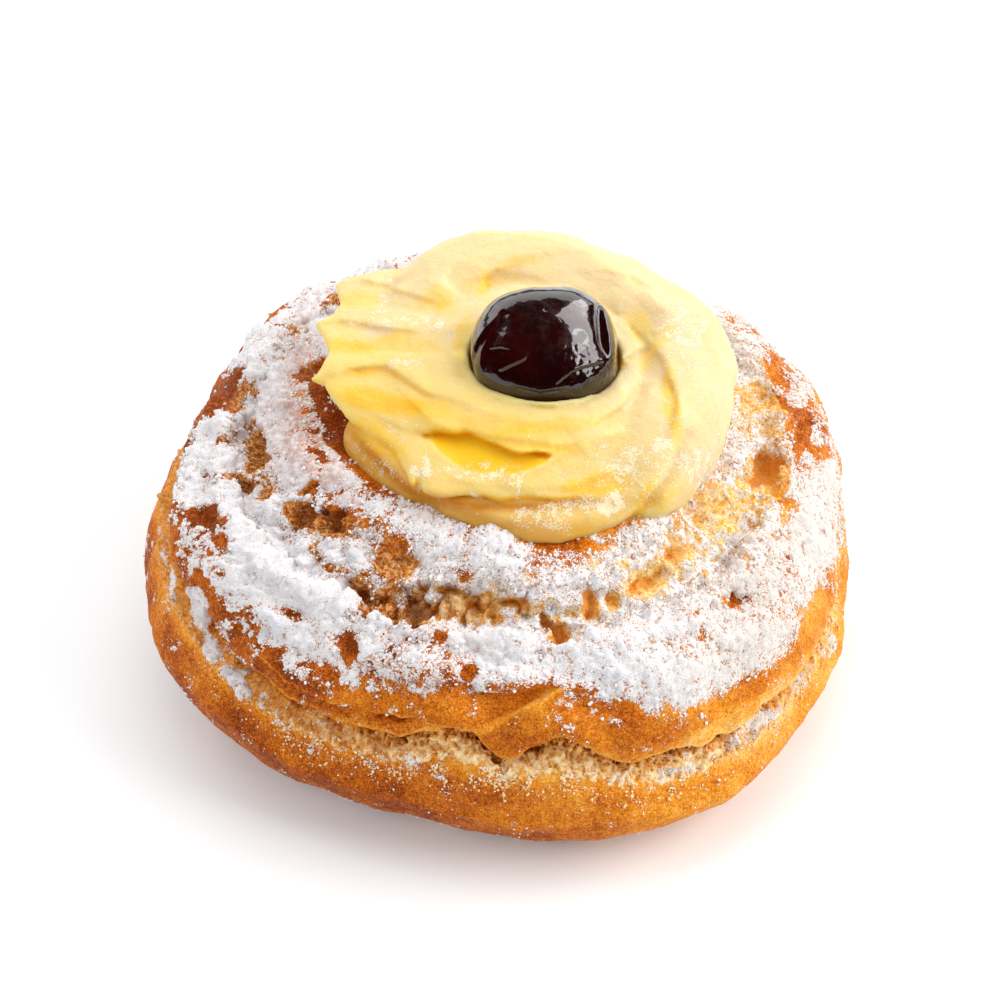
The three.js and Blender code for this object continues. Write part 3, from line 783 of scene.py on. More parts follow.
def build_crumb():
    """The torn flank between the two turns, with the strands and lumps that tearing leaves."""
    n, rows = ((1440, 42))
    deg = spaced(n)
    us = np.linspace(5.55, 9.75, rows)
    P, N, f = ring_surface(deg, us)
    arc = deg[:, None] * D2R * 45 + 0 * us
    q = np.stack([arc, 0.8 * np.hypot(P[..., 0], P[..., 1]), 0.30 * P[..., 2]], -1)
    strand = 0.8 * (1 - np.abs(perlin(q, 0.95, 64)) * 2.0) + 0.4 * (1 - np.abs(perlin(q, 0.5, 68)) * 2.0)
    lump = fbm(P, 2.8, 3, 65)
    small = fbm(P, 0.8, 2, 66)
    relief = 0.46 * strand + 0.24 * lump + 0.24 * small + 0.14 * fbm(P, 0.45, 1, 67)
    # wide open in front, nearly shut on the left, a thin streak on the right
    wide = (np.maximum.reduce([bump(deg, -80, 36), 0.5 * bump(deg, -20, 40), 0.6 * bump(deg, 60, 70)]) + 0.1)[:, None] + 0 * us
    wide = np.clip(wide * 1.2, 0, 1)
    relief = relief * (0.35 + 0.65 * wide)
    inner = step(f["u"], 5.7, 6.4) * (1 - step(f["u"], 9.2, 9.7))
    h = relief * inner * (1 - 0.8 * step(f["u"], 7.8, 9.0)) - 0.08 - 0.37 * (1 - step(f["u"], 5.55, 5.9)) - 0.05 * step(f["u"], 7.8, 9.2) + 0.35 * bump(f["u"], 8.4, 0.8) * wide
    out = P + N * h[..., None]
    v = out.reshape(-1, 3)
    q = grid_faces(n, rows)
    tri = np.concatenate([q[:, [0, 1, 2]], q[:, [0, 2, 3]]])
    # paler on the raised strands and darker between them: the strands' own paleness, partly painted light and shade
    high = np.clip(0.34 + 0.60 * (relief - 0.25 * lump) + 0.14 * (1 - step(f["u"], 6.6, 7.8)), 0, 1)
    # painted shade under the lip, on the crumb's upper rows
    painted_lip_shade = step(f["u"], 7.2, 8.6)
    return v, tri, {"high": high, "painted_lip_shade": painted_lip_shade, "crust": np.clip(1 - step(f["u"] + 0.35 * lump + 0.45 * strand, 5.9, 6.5) * wide, 0, 1), "dust": np.clip(sugar_amount(P, f)[0], -1, 2)}


def crumb_material():
    m = Nodes("torn_crumb")
    high, painted_lip_shade, crust, dust = (m.attr(a) for a in ("high", "painted_lip_shade", "crust", "dust"))
    fine = m.noise(2600, 3, 0.65)
    # relief-driven paleness, partly painted light and shade
    k = m.math("ADD", high, m.math("MULTIPLY", m.math("SUBTRACT", fine, 0.5), 1.5))
    # darker under the lip: painted shade
    k = m.math("SUBTRACT", k, m.math("MULTIPLY", painted_lip_shade, 0.34))
    col = m.ramp(k, [(0.06, lin(134, 64, 16)), (0.26, lin(218, 136, 50)), (0.47, lin(248, 190, 102)), (0.76, lin(255, 232, 184))])
    col = m.mix(m.math("MULTIPLY", crust, 0.9), col, m.ramp(m.math("SUBTRACT", fine, m.math("MULTIPLY", painted_lip_shade, 0.3)), [(0.1, lin(120, 54, 14)), (0.38, lin(206, 118, 34)), (0.68, lin(240, 168, 76))]))
    speck = m.math("ADD", m.math("MULTIPLY", m.noise(4200, 2, 0.7), 0.75), m.math("MULTIPLY", m.noise(900, 2, 0.6), 0.55))
    powder = m.smooth(m.math("ADD", m.math("MULTIPLY", dust, 0.5), speck), 0.84, 0.95)
    col = m.mix(powder, col, lin(243, 240, 242))
    m.set(Base_Color=col, Roughness=m.smooth(fine, 0.3, 0.7, 0.75, 0.95), Normal=m.bump(m.noise(2200, 4, 0.7), 0.0003, 0.8))
    m.bsdf.inputs["Specular IOR Level"].default_value = 0.12
    return m.mat


def crust_material():
    m = Nodes("choux_crust")
    browning_and_painted_light, torn, dust, cave, gold = (m.attr(a) for a in ("browning_and_painted_light", "torn", "dust", "cave", "gold"))
    fine = m.noise(4200, 2, 0.6)
    grit = m.noise(1700, 3, 0.65)
    mid = m.noise(480, 4, 0.6)
    wide = m.noise(90, 3, 0.5)
    pore = m.voronoi(2900)
    off = lambda v, k: m.math("MULTIPLY", m.math("SUBTRACT", v, 0.5), k)
    # the attribute carries browning together with painted light and shade
    b = m.math("ADD", browning_and_painted_light, off(mid, 0.30))
    b = m.math("ADD", b, off(grit, 0.80))
    b = m.math("ADD", b, off(fine, 1.15))
    b = m.math("ADD", b, off(wide, 0.24))
    b = m.math("ADD", b, m.smooth(pore, 0.05, 0.32, 0.20, -0.02))
    col = m.ramp(b, [(0.0, lin(250, 202, 118)), (0.22, lin(244, 172, 64)), (0.42, lin(230, 143, 36)), (0.60, lin(208, 114, 18)),
                     (0.78, lin(182, 87, 12)), (1.0, lin(122, 50, 8))])
    tear = m.math("ADD", m.noise(1900, 4, 0.7), m.math("MULTIPLY", m.attr("cell"), 0.2))
    crumb = m.ramp(tear, [(0.40, lin(128, 60, 14)), (0.5, lin(206, 128, 46)), (0.60, lin(252, 216, 152))])
    golden = m.ramp(tear, [(0.38, lin(228, 148, 40)), (0.48, lin(250, 204, 108)), (0.58, lin(255, 238, 190))])
    crumb = m.mix(gold, crumb, golden)
    col = m.mix(m.math("MULTIPLY", torn, m.smooth(cave, 0.0, 0.7, 0.85, 0.35)), col, crumb)
    # powder too thin to stand up from the crust
    speck = m.math("ADD", m.math("MULTIPLY", m.noise(4600, 1, 0.7), 0.62), m.math("MULTIPLY", m.noise(1300, 3, 0.65), 0.62))
    powder = m.smooth(m.math("ADD", m.math("MULTIPLY", dust, 0.42), speck), 0.825, 0.89)
    col = m.mix(m.smooth(cave, 0.5, 1.0, 0.0, 0.5), col, m.mix(gold, lin(226, 132, 32), lin(252, 178, 62)))
    col = m.mix(m.math("MULTIPLY", powder, m.smooth(cave, 0.3, 0.8, 1.0, 0.2)), col, lin(250, 247, 246))
    height = m.math("ADD", m.math("MULTIPLY", grit, 0.9), m.math("MULTIPLY", m.smooth(pore, 0.0, 0.3), 0.5))
    height = m.math("ADD", height, m.math("MULTIPLY", fine, 0.5))
    height = m.math("ADD", height, m.math("MULTIPLY", powder, 0.5))
    m.set(Base_Color=col, Roughness=m.smooth(grit, 0.3, 0.7, 0.5, 0.72), Normal=m.bump(height, 0.00022, 0.9))
    m.bsdf.inputs["Specular IOR Level"].default_value = 0.12
    return m.mat


# ---------------------------------------------------------------- cream: a piped swirl
SWIRL = np.array([4.3, -0.4])


def polar_of(points, add=0.0):
    """(x, y, z[, extra]) frame positions at known heights to (degrees, radius) about the swirl's middle."""
    out = []
    for p in points:
        q = on_plane(p[0], p[1], p[2])[:2] - SWIRL
        out.append((math.degrees(math.atan2(q[1], q[0])), math.hypot(*q) + (p[3] if len(p) > 3 else 0) + add))
    return out


# Outer edge of the first turn, as it shows, with what a rounded back edge hides of its radius.
FOOT_EDGE = [(340, 442, 39), (352, 462, 39), (372, 480, 39), (395, 492, 39), (420, 502, 39), (440, 512, 39), (465, 525, 39), (490, 532, 39),
             (515, 537, 39), (540, 541, 39), (565, 542, 39), (590, 540, 39), (607, 531, 39), (630, 521, 39.3), (665, 519, 39.3), (690, 497, 39.5),
             (712, 470, 40), (725, 450, 40.5), (732, 417, 41), (736, 385, 42), (735, 360, 42.5), (725, 330, 43.5, 0.6), (700, 307, 45, 1.3),
             (660, 276, 46.5, 1.9), (600, 243, 47, 2.3), (560, 232, 47.2, 2.4), (520, 228, 47.2, 2.4), (480, 226, 47.2, 2.2), (450, 232, 47, 1.6),
             (425, 246, 46, 1.0), (395, 262, 45, -0.5), (365, 280, 44, -2.0), (350, 330, 43, -2.0), (347, 400, 41.5, -1.6), (343, 425, 40, -0.6)]
R1 = round_table(polar_of(FOOT_EDGE), 4.0)
Z1 = round_table([(-165, 39.4), (-120, 38.9), (-75, 39.0), (-58, 39.9), (-40, 41.0), (0, 41.4), (60, 41.6), (110, 42.0), (140, 41.4), (170, 40.2)], 8)
B1 = round_table([(-165, 4.5), (-120, 3.9), (-75, 4.1), (-58, 5.5), (-40, 6.8), (0, 7.2), (60, 7.2), (110, 7.0), (140, 6.0), (170, 4.8)], 8)
A1 = round_table([(-165, 5.6), (-120, 5.6), (-75, 6.0), (-58, 6.8), (-40, 7.4), (0, 7.6), (60, 7.8), (110, 7.6), (140, 7.4), (170, 6.0)], 8)
RC2 = round_table([(-180, 14.6), (-160, 14.2), (-144, 14.4), (-126, 16.2), (-100, 17.2), (-72, 18.2), (-56, 17.4), (-46, 15.6), (-25, 11.8), (-10, 9.3),
                   (20, 7.6), (60, 8.6), (100, 10.6), (130, 12.4), (160, 14.2)], 7)
def smin(a, b, k):
    h = np.clip(0.5 + 0.5 * (b - a) / k, 0, 1)
    return b + (a - b) * h - k * h * (1 - h)


def smax(a, b, k):
    return -smin(-a, -b, k)


def cream_outline(px):
    """Closed outline in plan (mm) of (x, y, height) frame points."""
    return np.array([on_plane(*p)[:2] for p in px])


# The upper ribbon: three points of the cut end, the torn front edge, the groove on the right, and back round.
RIBBON = [(334, 283, 45.0), (338, 292, 44.6), (341, 306, 44.3), (333, 315, 44.7), (314, 322, 45.0), (324, 338, 44.4), (331, 357, 44.0),
          (324, 371, 44.2), (308, 382, 44.5), (323, 392, 43.6), (335, 408, 43.2), (343, 420, 43.0), (356, 428, 42.8), (375, 440, 42.5),
          (393, 454, 42.2), (402, 470, 41.7), (413, 491, 41.2), (419, 483, 41.6), (427, 497, 41.3), (440, 501, 41.3), (470, 502, 41.5),
          (500, 507, 41.6), (530, 505, 41.8), (560, 508, 41.8), (600, 505, 42.0), (625, 492, 42.3), (650, 470, 43.0), (668, 445, 44.0),
          (677, 415, 45.0), (678, 395, 45.4), (670, 370, 46.0), (655, 350, 46.6), (635, 330, 47.2), (610, 310, 47.4), (575, 285, 47.4),
          (530, 268, 47.2), (490, 262, 47.0), (450, 262, 46.6), (420, 258, 46.0), (385, 266, 45.6), (350, 275, 45.2)]

# Strokes: frame polyline, half width on its left and on its right (pixels), height on each side (mm; below 0 is carved).
# Left and right are as seen going along the line.
STROKES = [
    # the groove between the turns, on the right
    ([(608, 308), (638, 332), (660, 358), (675, 388), (677, 412), (668, 436), (648, 460)], 9, 14, 0.25, -0.6),
    ([(572, 273), (605, 271), (632, 277), (655, 290)], 6, 10, 0.15, -0.25),
    # curls behind the cherry, on the left
    ([(464, 260), (450, 268), (447, 281), (455, 292), (470, 300)], 8, 6, -0.35, 0.2),
    ([(508, 266), (494, 269), (484, 278), (482, 291)], 13, 6, -0.5, 0.22),
    ([(500, 270), (520, 259), (545, 254), (562, 256)], 6, 9, 0.2, -0.2),
    ([(430, 262), (425, 274), (405, 285), (380, 290)], 7, 10, 0.2, -0.32),
    # pleats of the cut end: raised on one side, folded under on the other
    ([(334, 284), (360, 281), (385, 285), (410, 294), (445, 304)], 8, 11, 0.28, -0.3),
    ([(314, 322), (348, 322), (385, 328), (425, 334)], 8, 11, 0.42, -0.28),
    ([(309, 382), (345, 370), (386, 367), (402, 377), (425, 392), (455, 400)], 9, 11, 0.55, -0.4),
    ([(341, 306), (370, 305), (405, 311), (440, 318)], 8, 6, -0.35, 0.15),
    ([(331, 357), (360, 352), (400, 352), (450, 356)], 8, 6, -0.35, 0.15),
    # laps over the front
    ([(355, 402), (385, 420), (415, 432), (450, 428), (500, 437), (560, 446), (610, 437), (645, 405)], 14, 10, 0.30, -0.30),
    ([(575, 440), (600, 420), (625, 404), (640, 380)], 5, 7, 0.3, -0.5),
    ([(500, 503), (520, 480), (545, 466), (575, 452)], 6, 9, 0.25, -0.35),
    ([(430, 480), (470, 484), (520, 489), (570, 487), (620, 470), (650, 440)], 8, 8, 0.25, -0.3),
    # small peaks beside the cherry
    ([(610, 368), (626, 357), (648, 345)], 5, 4, 0.9, -0.25),
    ([(476, 356), (464, 352), (448, 352)], 5, 4, 0.9, -0.3),
    ([(486, 394), (515, 404), (545, 407), (580, 402), (606, 390)], 5, 6, 0.5, -0.3),
    # the right lobe's own fold, and the foot's
    ([(604, 534), (628, 516), (646, 498), (661, 480), (674, 456), (686, 426)], 6, 8, 0.35, -1.2),
    ([(350, 440), (380, 462), (410, 488), (450, 508), (520, 524), (580, 523)], 5, 6, 0.2, -0.2),
]
# The open pocket under the ribbon's torn edge: upper edge and lower edge in the frame, depth in mm.
POCKET_TOP = [(418, 438), (424, 434), (440, 431), (458, 434), (470, 432), (482, 439), (496, 443), (508, 449), (520, 453), (534, 451), (546, 452), (553, 455)]
POCKET_LOW = [(418, 438), (432, 441), (438, 450), (452, 462), (468, 471), (490, 475), (512, 474), (534, 468), (546, 462), (553, 455)]
POCKET_DEEP = 1.7


def along_edge(u, pts):
    xs, ys = [p[0] for p in pts], [p[1] for p in pts]
    return np.interp(u, xs, ys)


def cream_field(X, Y, Z, cherry):
    dx, dy = X - SWIRL[0], Y - SWIRL[1]
    r = np.hypot(dx, dy)
    deg = np.degrees(np.arctan2(dy, dx))
    star = lambda psi, n, tw: 1 - np.abs(np.sin(0.5 * (n * psi + tw * deg * D2R)))  # sharp crests, round hollows
    a, b, zc = A1(deg), B1(deg), Z1(deg)
    u1, v1 = (r - (R1(deg) - a)) / a, (Z - zc) / b
    q = np.hypot(u1, v1)
    psi = np.arctan2(v1, u1)
    back = step(dy, -4, 8)
    s1 = (q - 0.97 - (0.02 + 0.035 * back) * star(psi, 7, 2)) * np.minimum(a, b)
    # the ribbon on top of it
    x2, y2 = X[..., 0], Y[..., 0]
    d2 = polygon_distance(x2, y2, cream_outline(RIBBON))[..., None]
    w = np.maximum(-d2, 0)
    fx = np.hypot(x2 - cherry[0][0], (y2 - cherry[0][1]))[..., None]
    # height of its top: low at the torn edge, high at the cherry's rim
    z_edge = np.interp(r[..., :1], [0, 13, 20, 26, 30], [48.6, 47.6, 44.8, 42.9, 44.4])
    left = step(-dx[..., :1], 8, 18) * step(dy[..., :1], -12, -4)
    z_edge = z_edge * (1 - left) + left * np.interp(r[..., :1], [0, 12, 20, 30], [48.4, 47.6, 46.2, 45.4])
    top = z_edge + 0.5 * (1 - np.exp(-w / 3.0)) - 0.4
    thick = np.clip(1.0 + 0.55 * w, 1.0, 6.0)
    low = top - thick
    rho = np.minimum(0.42 * thick, 1.3)
    ez = np.maximum(np.abs(Z - (top + low) / 2) - (thick / 2 - rho), 0)
    ed = np.maximum(d2 + rho, 0)
    s2 = np.hypot(ez, ed) - rho
    inside = np.maximum(d2 + rho, np.abs(Z - (top + low) / 2) - (thick / 2 - rho))
    s2 = np.where((ez == 0) & (ed == 0), inside - rho, s2)
    body = smin(s1, s2, 0.5)
    core = np.maximum(r - 17.5, np.abs(Z - 37.5) - 8.8)
    return smin(body, core, 1.2)


# Powder that has landed on the cream.
FLECKS = [(385, 292, 9, 22, 0, 0.5), (400, 320, 60, 9, 3, 0.4), (405, 364, 24, 5, -8, 0.5), (350, 325, 14, 6, 0, 0.3), (440, 331, 18, 8, 0, 0.4),
          (470, 470, 58, 8, 0, 0.45), (500, 479, 40, 6, 0, 0.35), (570, 509, 38, 9, 0, 0.6), (540, 522, 40, 9, 10, 0.5), (612, 506, 18, 10, -45, 0.75),
          (585, 500, 14, 6, 0, 0.4), (519, 486, 4, 13, 12, 0.8), (476, 494, 12, 4, 10, 0.65), (421, 472, 12, 18, 10, 0.5), (382, 470, 16, 12, 20, 0.4),
          (360, 455, 12, 14, 0, 0.3), (405, 432, 36, 16, 0, 0.25), (695, 400, 38, 100, 0, 0.30), (680, 325, 34, 22, 0, 0.4), (640, 475, 44, 34, -30, 0.35),
          (600, 465, 50, 26, -20, 0.25), (625, 290, 40, 12, 10, 0.15), (660, 442, 12, 9, 0, 0.5), (645, 372, 12, 12, 0, 0.25), (700, 470, 24, 20, 0, 0.35)]


# The crease between the foot and the ribbon above it, where a painted shadow goes.
CREASE_SHADOW_LINE = [(342, 424), (370, 452), (400, 483), (416, 495), (440, 502), (480, 507), (540, 506), (600, 501), (640, 500), (662, 496)]

# Where light that has gone deep into the cream comes out a richer yellow.
RICH = [(378, 401, 46, 13, 14, 0.65), (380, 330, 18, 8, 0, -0.7), (352, 347, 26, 7, 5, 0.5), (360, 300, 28, 8, 0, 0.4), (672, 405, 8, 42, -8, 0.8), (655, 350, 7, 26, 35, 0.6),
        (640, 325, 14, 18, -40, 0.5), (464, 335, 9, 22, 15, 0.6), (440, 300, 18, 12, 30, 0.45), (484, 284, 6, 13, 10, 0.7), (520, 262, 26, 5, -10, 0.35),
        (378, 440, 34, 14, 35, 0.45), (600, 452, 32, 7, -25, 0.15), (560, 425, 64, 7, -5, 0.3), (625, 425, 18, 7, -40, 0.05), (500, 435, 80, 20, 5, 0.3), (600, 484, 36, 12, -10, 0.7), (645, 500, 8, 22, 30, 0.6), (430, 408, 30, 8, 5, 0.4), (400, 345, 60, 8, 5, 0.2), (700, 330, 20, 8, 40, 0.2)]


def trilinear(s, lo, h, p):
    q = (p - lo) / h
    q = np.clip(q, 0, np.array(s.shape) - 1.001)
    i = np.floor(q).astype(int)
    f = q - i
    out = 0
    for a in (0, 1):
        for b in (0, 1):
            for c in (0, 1):
                w = (f[:, 0] if a else 1 - f[:, 0]) * (f[:, 1] if b else 1 - f[:, 1]) * (f[:, 2] if c else 1 - f[:, 2])
                out = out + w * s[i[:, 0] + a, i[:, 1] + b, i[:, 2] + c]
    return out


def build_cream(ring_top, cherry):
    import openvdb as vdb
    h = 0.32
    lo, hi = np.array([-30.0, -31.0, 29.0]), np.array([35.0, 31.0, 53.0])
    n = np.ceil((hi - lo) / h).astype(int)
    ax = [lo[i] + h * np.arange(n[i]) for i in range(3)]
    X, Y, Z = [g.astype(np.float32) for g in np.meshgrid(*ax, indexing="ij")]
    s = cream_field(X, Y, Z, cherry).astype(np.float32)
    g = np.stack(np.gradient(s, h), -1)
    g /= np.maximum(np.linalg.norm(g, axis=-1, keepdims=True), 1e-6)
    band = np.abs(s) < 3.5
    P = np.stack([X[band], Y[band], Z[band]], -1).astype(np.float64)
    N = g[band]
    u, v = to_px(P)
    seen = step(N @ CAM_BACK, 0.0, 0.35)
    wob = 3.0 * perlin(P, 5.0, 91), 3.0 * perlin(P, 5.0, 92)
    d = strokes(u + 0.5 * wob[0], v + 0.5 * wob[1], STROKES, 2.6) * seen
    # the pocket: crisp above, shallow below
    top, low = along_edge(u, POCKET_TOP), along_edge(u, POCKET_LOW)
    t = np.clip((v - top) / np.maximum(low - top, 1), 0, 1)
    into = step(v - top, -0.5, 3.0) * (1 - t) ** 0.8 * ((v < low) & (u > 418) & (u < 553))
    d -= POCKET_DEEP * into * seen
    # soft unevenness, and the fine streaks that the nozzle leaves along the turns
    rr = np.hypot(P[:, 0] - SWIRL[0], P[:, 1] - SWIRL[1])
    aa = np.degrees(np.arctan2(P[:, 1] - SWIRL[1], P[:, 0] - SWIRL[0]))
    flow = np.stack([rr * 1.0, aa * 0.09, P[:, 2] * 1.0], -1)
    d += 0.30 * fbm(P, 6.0, 2, 93) + 0.10 * perlin(flow, 1.3, 94) + 0.07 * perlin(P, 1.1, 95)
    s[band] -= d.astype(np.float32)
    s = np.maximum(s, (ring_top(X[..., 0], Y[..., 0])[..., None] + 0.15 - Z))
    c, ca, cb, cc = cherry
    k = np.sqrt(((X - c[0]) / ca) ** 2 + ((Y - c[1]) / cb) ** 2 + ((Z - c[2]) / cc) ** 2)
    s = smax(s, (1.0 - k) * min(ca, cb, cc) + 0.15, 0.4).astype(np.float32)
    grid = vdb.FloatGrid(2.0)
    grid.copyFromArray(s, tolerance=0.0)
    pts, tris, quads = grid.convertToPolygons(0.0, 0.0)
    pts = lo + np.asarray(pts, float) * h
    faces = np.concatenate([np.asarray(tris, np.int64).reshape(-1, 3)] + ([np.asarray(quads)[:, [0, 1, 2]], np.asarray(quads)[:, [0, 2, 3]]] if len(quads) else []))
    faces = faces[:, ::-1]
    for _ in range(2):  # soft, as cream settles
        total, count = np.zeros_like(pts), np.zeros(len(pts))
        for a, b in ((0, 1), (1, 2), (2, 0), (1, 0), (2, 1), (0, 2)):
            count += np.bincount(faces[:, a], minlength=len(pts))
            for k in range(3):
                total[:, k] += np.bincount(faces[:, a], pts[faces[:, b], k], minlength=len(pts))
        pts = 0.45 * pts + 0.55 * total / np.maximum(count, 1)[:, None]
    # how deep in a hollow each point lies, for the painted shade in the hollows
    nrm = np.stack([trilinear(g[..., k], lo, h, pts) for k in range(3)], -1)
    shut = 0
    for dist in (1.2, 2.2, 3.6):
        shut = shut + np.clip(1 - trilinear(s, lo, h, pts + nrm * dist) / dist, 0, 1)
    u, v = to_px(pts)
    top, low = along_edge(u, POCKET_TOP), along_edge(u, POCKET_LOW)
    # the pocket under the ribbon's torn edge, where painted shade goes
    pocket_shade = step(v - top, -1.0, 1.5) * (1 - step(v - low, -2.0, 1.0)) * ((u > 417) & (u < 554)) * (nrm @ CAM_BACK > -0.3)
    fleck = blots(u + 4 * perlin(pts, 2.0, 97), v + 4 * perlin(pts, 2.0, 98), FLECKS) * (nrm @ CAM_BACK > 0) + 0.10
    # paler toward the lit right and back: painted light
    painted_light = step(0.8 * pts[:, 0] + pts[:, 1], -17, 7)
    # darker, more orange low on the cream, less so on the lit right: painted shade
    foot_shade = (1 - step(pts[:, 2], 39.6, 44.0)) * (1 - 0.85 * step(pts[:, 0], 5, 14))
    rich = np.clip(blots(u + 3 * perlin(pts, 3.0, 89), v + 3 * perlin(pts, 3.0, 90), RICH), -0.8, 1)
    d, _ = near_line(u, v, CREASE_SHADOW_LINE)
    rich = rich * (nrm @ CAM_BACK > 0)
    crease_shadow = (0.95 - 0.75 * step(u, 500, 640)) * np.exp(-(d / 5.5) ** 2) * (nrm @ CAM_BACK > 0) * (1 - 0.5 * step(-v, -452, -424))
    return pts, faces, {"hollow_shade": np.clip(shut / 3, 0, 1), "pocket_shade": pocket_shade, "painted_light": painted_light, "foot_shade": foot_shade, "fleck": fleck, "rich": rich, "crease_shadow": crease_shadow}


ring = build_ring()
ring.data.materials.append(crust_material())
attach(ring, "root")
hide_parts("pastry")

bv, bt, bx = build_crumb()
crumb = new_mesh("torn_crumb", bv, bt, bx)
crumb.data.materials.append(crumb_material())
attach(crumb, "root")


def build_bits():
    """Crumbs and shreds that tearing left on the edge of the split."""
    n, us = 1200, np.linspace(5.0, 7.4, 50)
    deg = spaced(n)
    P, N, f = ring_surface(deg, us)
    open_here = (np.maximum(bump(deg, -88, 34), 0.35 * bump(deg, -22, 30)))[:, None]
    w = open_here * bump(us, 5.9, 0.55)[None, :] * step(fbm(P, 1.6, 2, 111), -0.05, 0.35) + 0.01 * open_here
    rng = np.random.default_rng(61)
    pick = rng.choice(w.size, 1700, replace=False, p=(w / w.sum()).ravel())
    r = 0.07 + 0.15 * rng.random(len(pick)) ** 1.8
    return scatter(P.reshape(-1, 3)[pick], N.reshape(-1, 3)[pick], r, 67, sink=0.3)


tv, tt = build_bits()
bits = new_mesh("crumb_bits", tv, tt, smooth=False)
bm = Nodes("crumb_bit")
bm.set(Base_Color=bm.ramp(bm.noise(1500, 3, 0.6), [(0.34, lin(226, 168, 92)), (0.5, lin(250, 218, 164)), (0.64, lin(255, 242, 220))]), Roughness=0.9)
bm.bsdf.inputs["Specular IOR Level"].default_value = 0.12
bits.data.materials.append(bm.mat)
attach(bits, "root")


def ring_top_height():
    """Height of the ring's smooth form under the cream, as a function of place."""
    deg = np.arange(-180, 180, 2.0)
    us = np.linspace(17.0, 24.0, 57)
    P, _, _ = ring_surface(deg, us, detail=False)
    r, z = np.hypot(P[..., 0], P[..., 1]), P[..., 2]
    rr = np.linspace(0, 36, 181)
    H = np.stack([np.interp(rr, r[i][::-1], z[i][::-1]) for i in range(len(deg))])
    H = np.concatenate([H, H[:1]])

    def top(x, y):
        r = np.clip(np.hypot(x, y) / 0.2, 0, 179.99)
        d = (np.degrees(np.arctan2(y, x)) + 180) % 360 / 2.0
        i, j = np.floor(d).astype(int) % 180, np.floor(r).astype(int)
        f, g = d - np.floor(d), r - j
        return ((1 - f) * ((1 - g) * H[i, j] + g * H[i, j + 1]) + f * ((1 - g) * H[i + 1, j] + g * H[i + 1, j + 1])).astype(np.float32)
    return top


CHERRY = (np.array([5.5, -1.2, 47.7]), 9.55, 9.2, 7.6)


def cream_material():
    m = Nodes("pastry_cream")
    hollow_shade, pocket_shade, painted_light, foot_shade, fleck, rich, crease_shadow = (m.attr(a) for a in ("hollow_shade", "pocket_shade", "painted_light", "foot_shade", "fleck", "rich", "crease_shadow"))
    mott = m.math("MULTIPLY", m.math("SUBTRACT", m.noise(180, 3, 0.55), 0.5), 0.2)
    grain = m.math("MULTIPLY", m.math("SUBTRACT", m.noise(2000, 3, 0.65), 0.5), 0.42)
    # deeper yellow in the hollows: painted shade
    k = m.math("ADD", m.math("MULTIPLY", m.smooth(hollow_shade, 0.08, 0.75), 0.60), m.math("ADD", mott, grain))
    # paler on the lit side: painted light
    k = m.math("ADD", k, m.math("MULTIPLY", painted_light, -0.22))
    k = m.math("ADD", k, m.math("MULTIPLY", rich, 0.5))
    k = m.math("MINIMUM", m.math("MULTIPLY", m.math("ADD", k, 0.28), 0.85), 0.66)
    col = m.ramp(k, [(0.0, lin(232, 209, 163)), (0.22, lin(235, 206, 129)), (0.46, lin(240, 197, 80)), (0.70, lin(242, 184, 40))])
    # the foot's darker orange: painted shade
    col = m.mix(m.math("MULTIPLY", foot_shade, 0.8), col, lin(224, 160, 62))
    # dark orange along the crease: painted shadow
    col = m.mix(m.math("MULTIPLY", crease_shadow, m.smooth(m.noise(700, 3, 0.6), 0.3, 0.6, 0.75, 1.0)), col, lin(194, 120, 10))
    # saturated yellow in the pocket: painted shade
    col = m.mix(m.math("MULTIPLY", pocket_shade, 0.95), col, lin(243, 194, 22))
    speck = m.math("ADD", m.math("MULTIPLY", m.noise(3800, 1, 0.7), 0.62), m.math("MULTIPLY", m.noise(800, 3, 0.65), 0.66))
    white = m.smooth(m.math("ADD", m.math("MULTIPLY", fleck, 0.32), speck), 0.82, 0.91)
    col = m.mix(m.math("MULTIPLY", white, 0.6), col, lin(250, 244, 222))
    height = m.math("ADD", m.noise(1500, 3, 0.6), m.math("MULTIPLY", m.noise(320, 2, 0.5), 0.8))
    height = m.math("ADD", height, m.math("MULTIPLY", white, 0.7))
    m.set(Base_Color=col, Roughness=m.smooth(m.noise(400, 2), 0.35, 0.65, 0.42, 0.58), Normal=m.bump(height, 0.00020, 0.8))
    m.bsdf.inputs["Specular IOR Level"].default_value = 0.3
    m.bsdf.inputs["Subsurface Weight"].default_value = 0.65
    m.bsdf.inputs["Subsurface Radius"].default_value = (0.006, 0.004, 0.0014)
    m.bsdf.inputs["Subsurface Scale"].default_value = 0.5
    return m.mat


pts, faces, values = build_cream(ring_top_height(), CHERRY)
print("cream", len(pts), len(faces))
cream = new_mesh("cream_swirl", pts, faces, values)
cream.data.materials.append(cream_material())
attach(cream, "root")
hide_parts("cream")


# ---------------------------------------------------------------- sugar pieces
sv, st, coat, painted_shade_tints = build_sugar()
print("sugar coat", len(sv), len(st))
sugar = new_mesh("sugar_coat", sv, st, painted_shade_tints)
powdered = sugar_material()
sugar.data.materials.append(powdered)
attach(sugar, "root")


def build_grains():
    P, N, amount, h, f = coat
    rng = np.random.default_rng(23)
    top = P + N * np.maximum(h, 0)[..., None]
    w = np.exp(-((h - 0.02) / 0.16) ** 2) * step(amount, -0.05, 0.3) * (1 - 0.7 * f["pits"]) + 0.35 * f["gold"] * step(amount, -0.45, 0.0) * (1 - step(amount, 0.1, 0.3)) * (1 - f["pits"])
    w = (w * (N @ CAM_BACK > -0.6)).ravel()
    pick = rng.choice(len(w), 6000, replace=False, p=w / w.sum())
    pts = top.reshape(-1, 3)[pick]
    nn = N.reshape(-1, 3)[pick]
    r = 0.10 + 0.16 * rng.random(len(pick)) ** 2.2
    return scatter(pts, nn, r, 29)


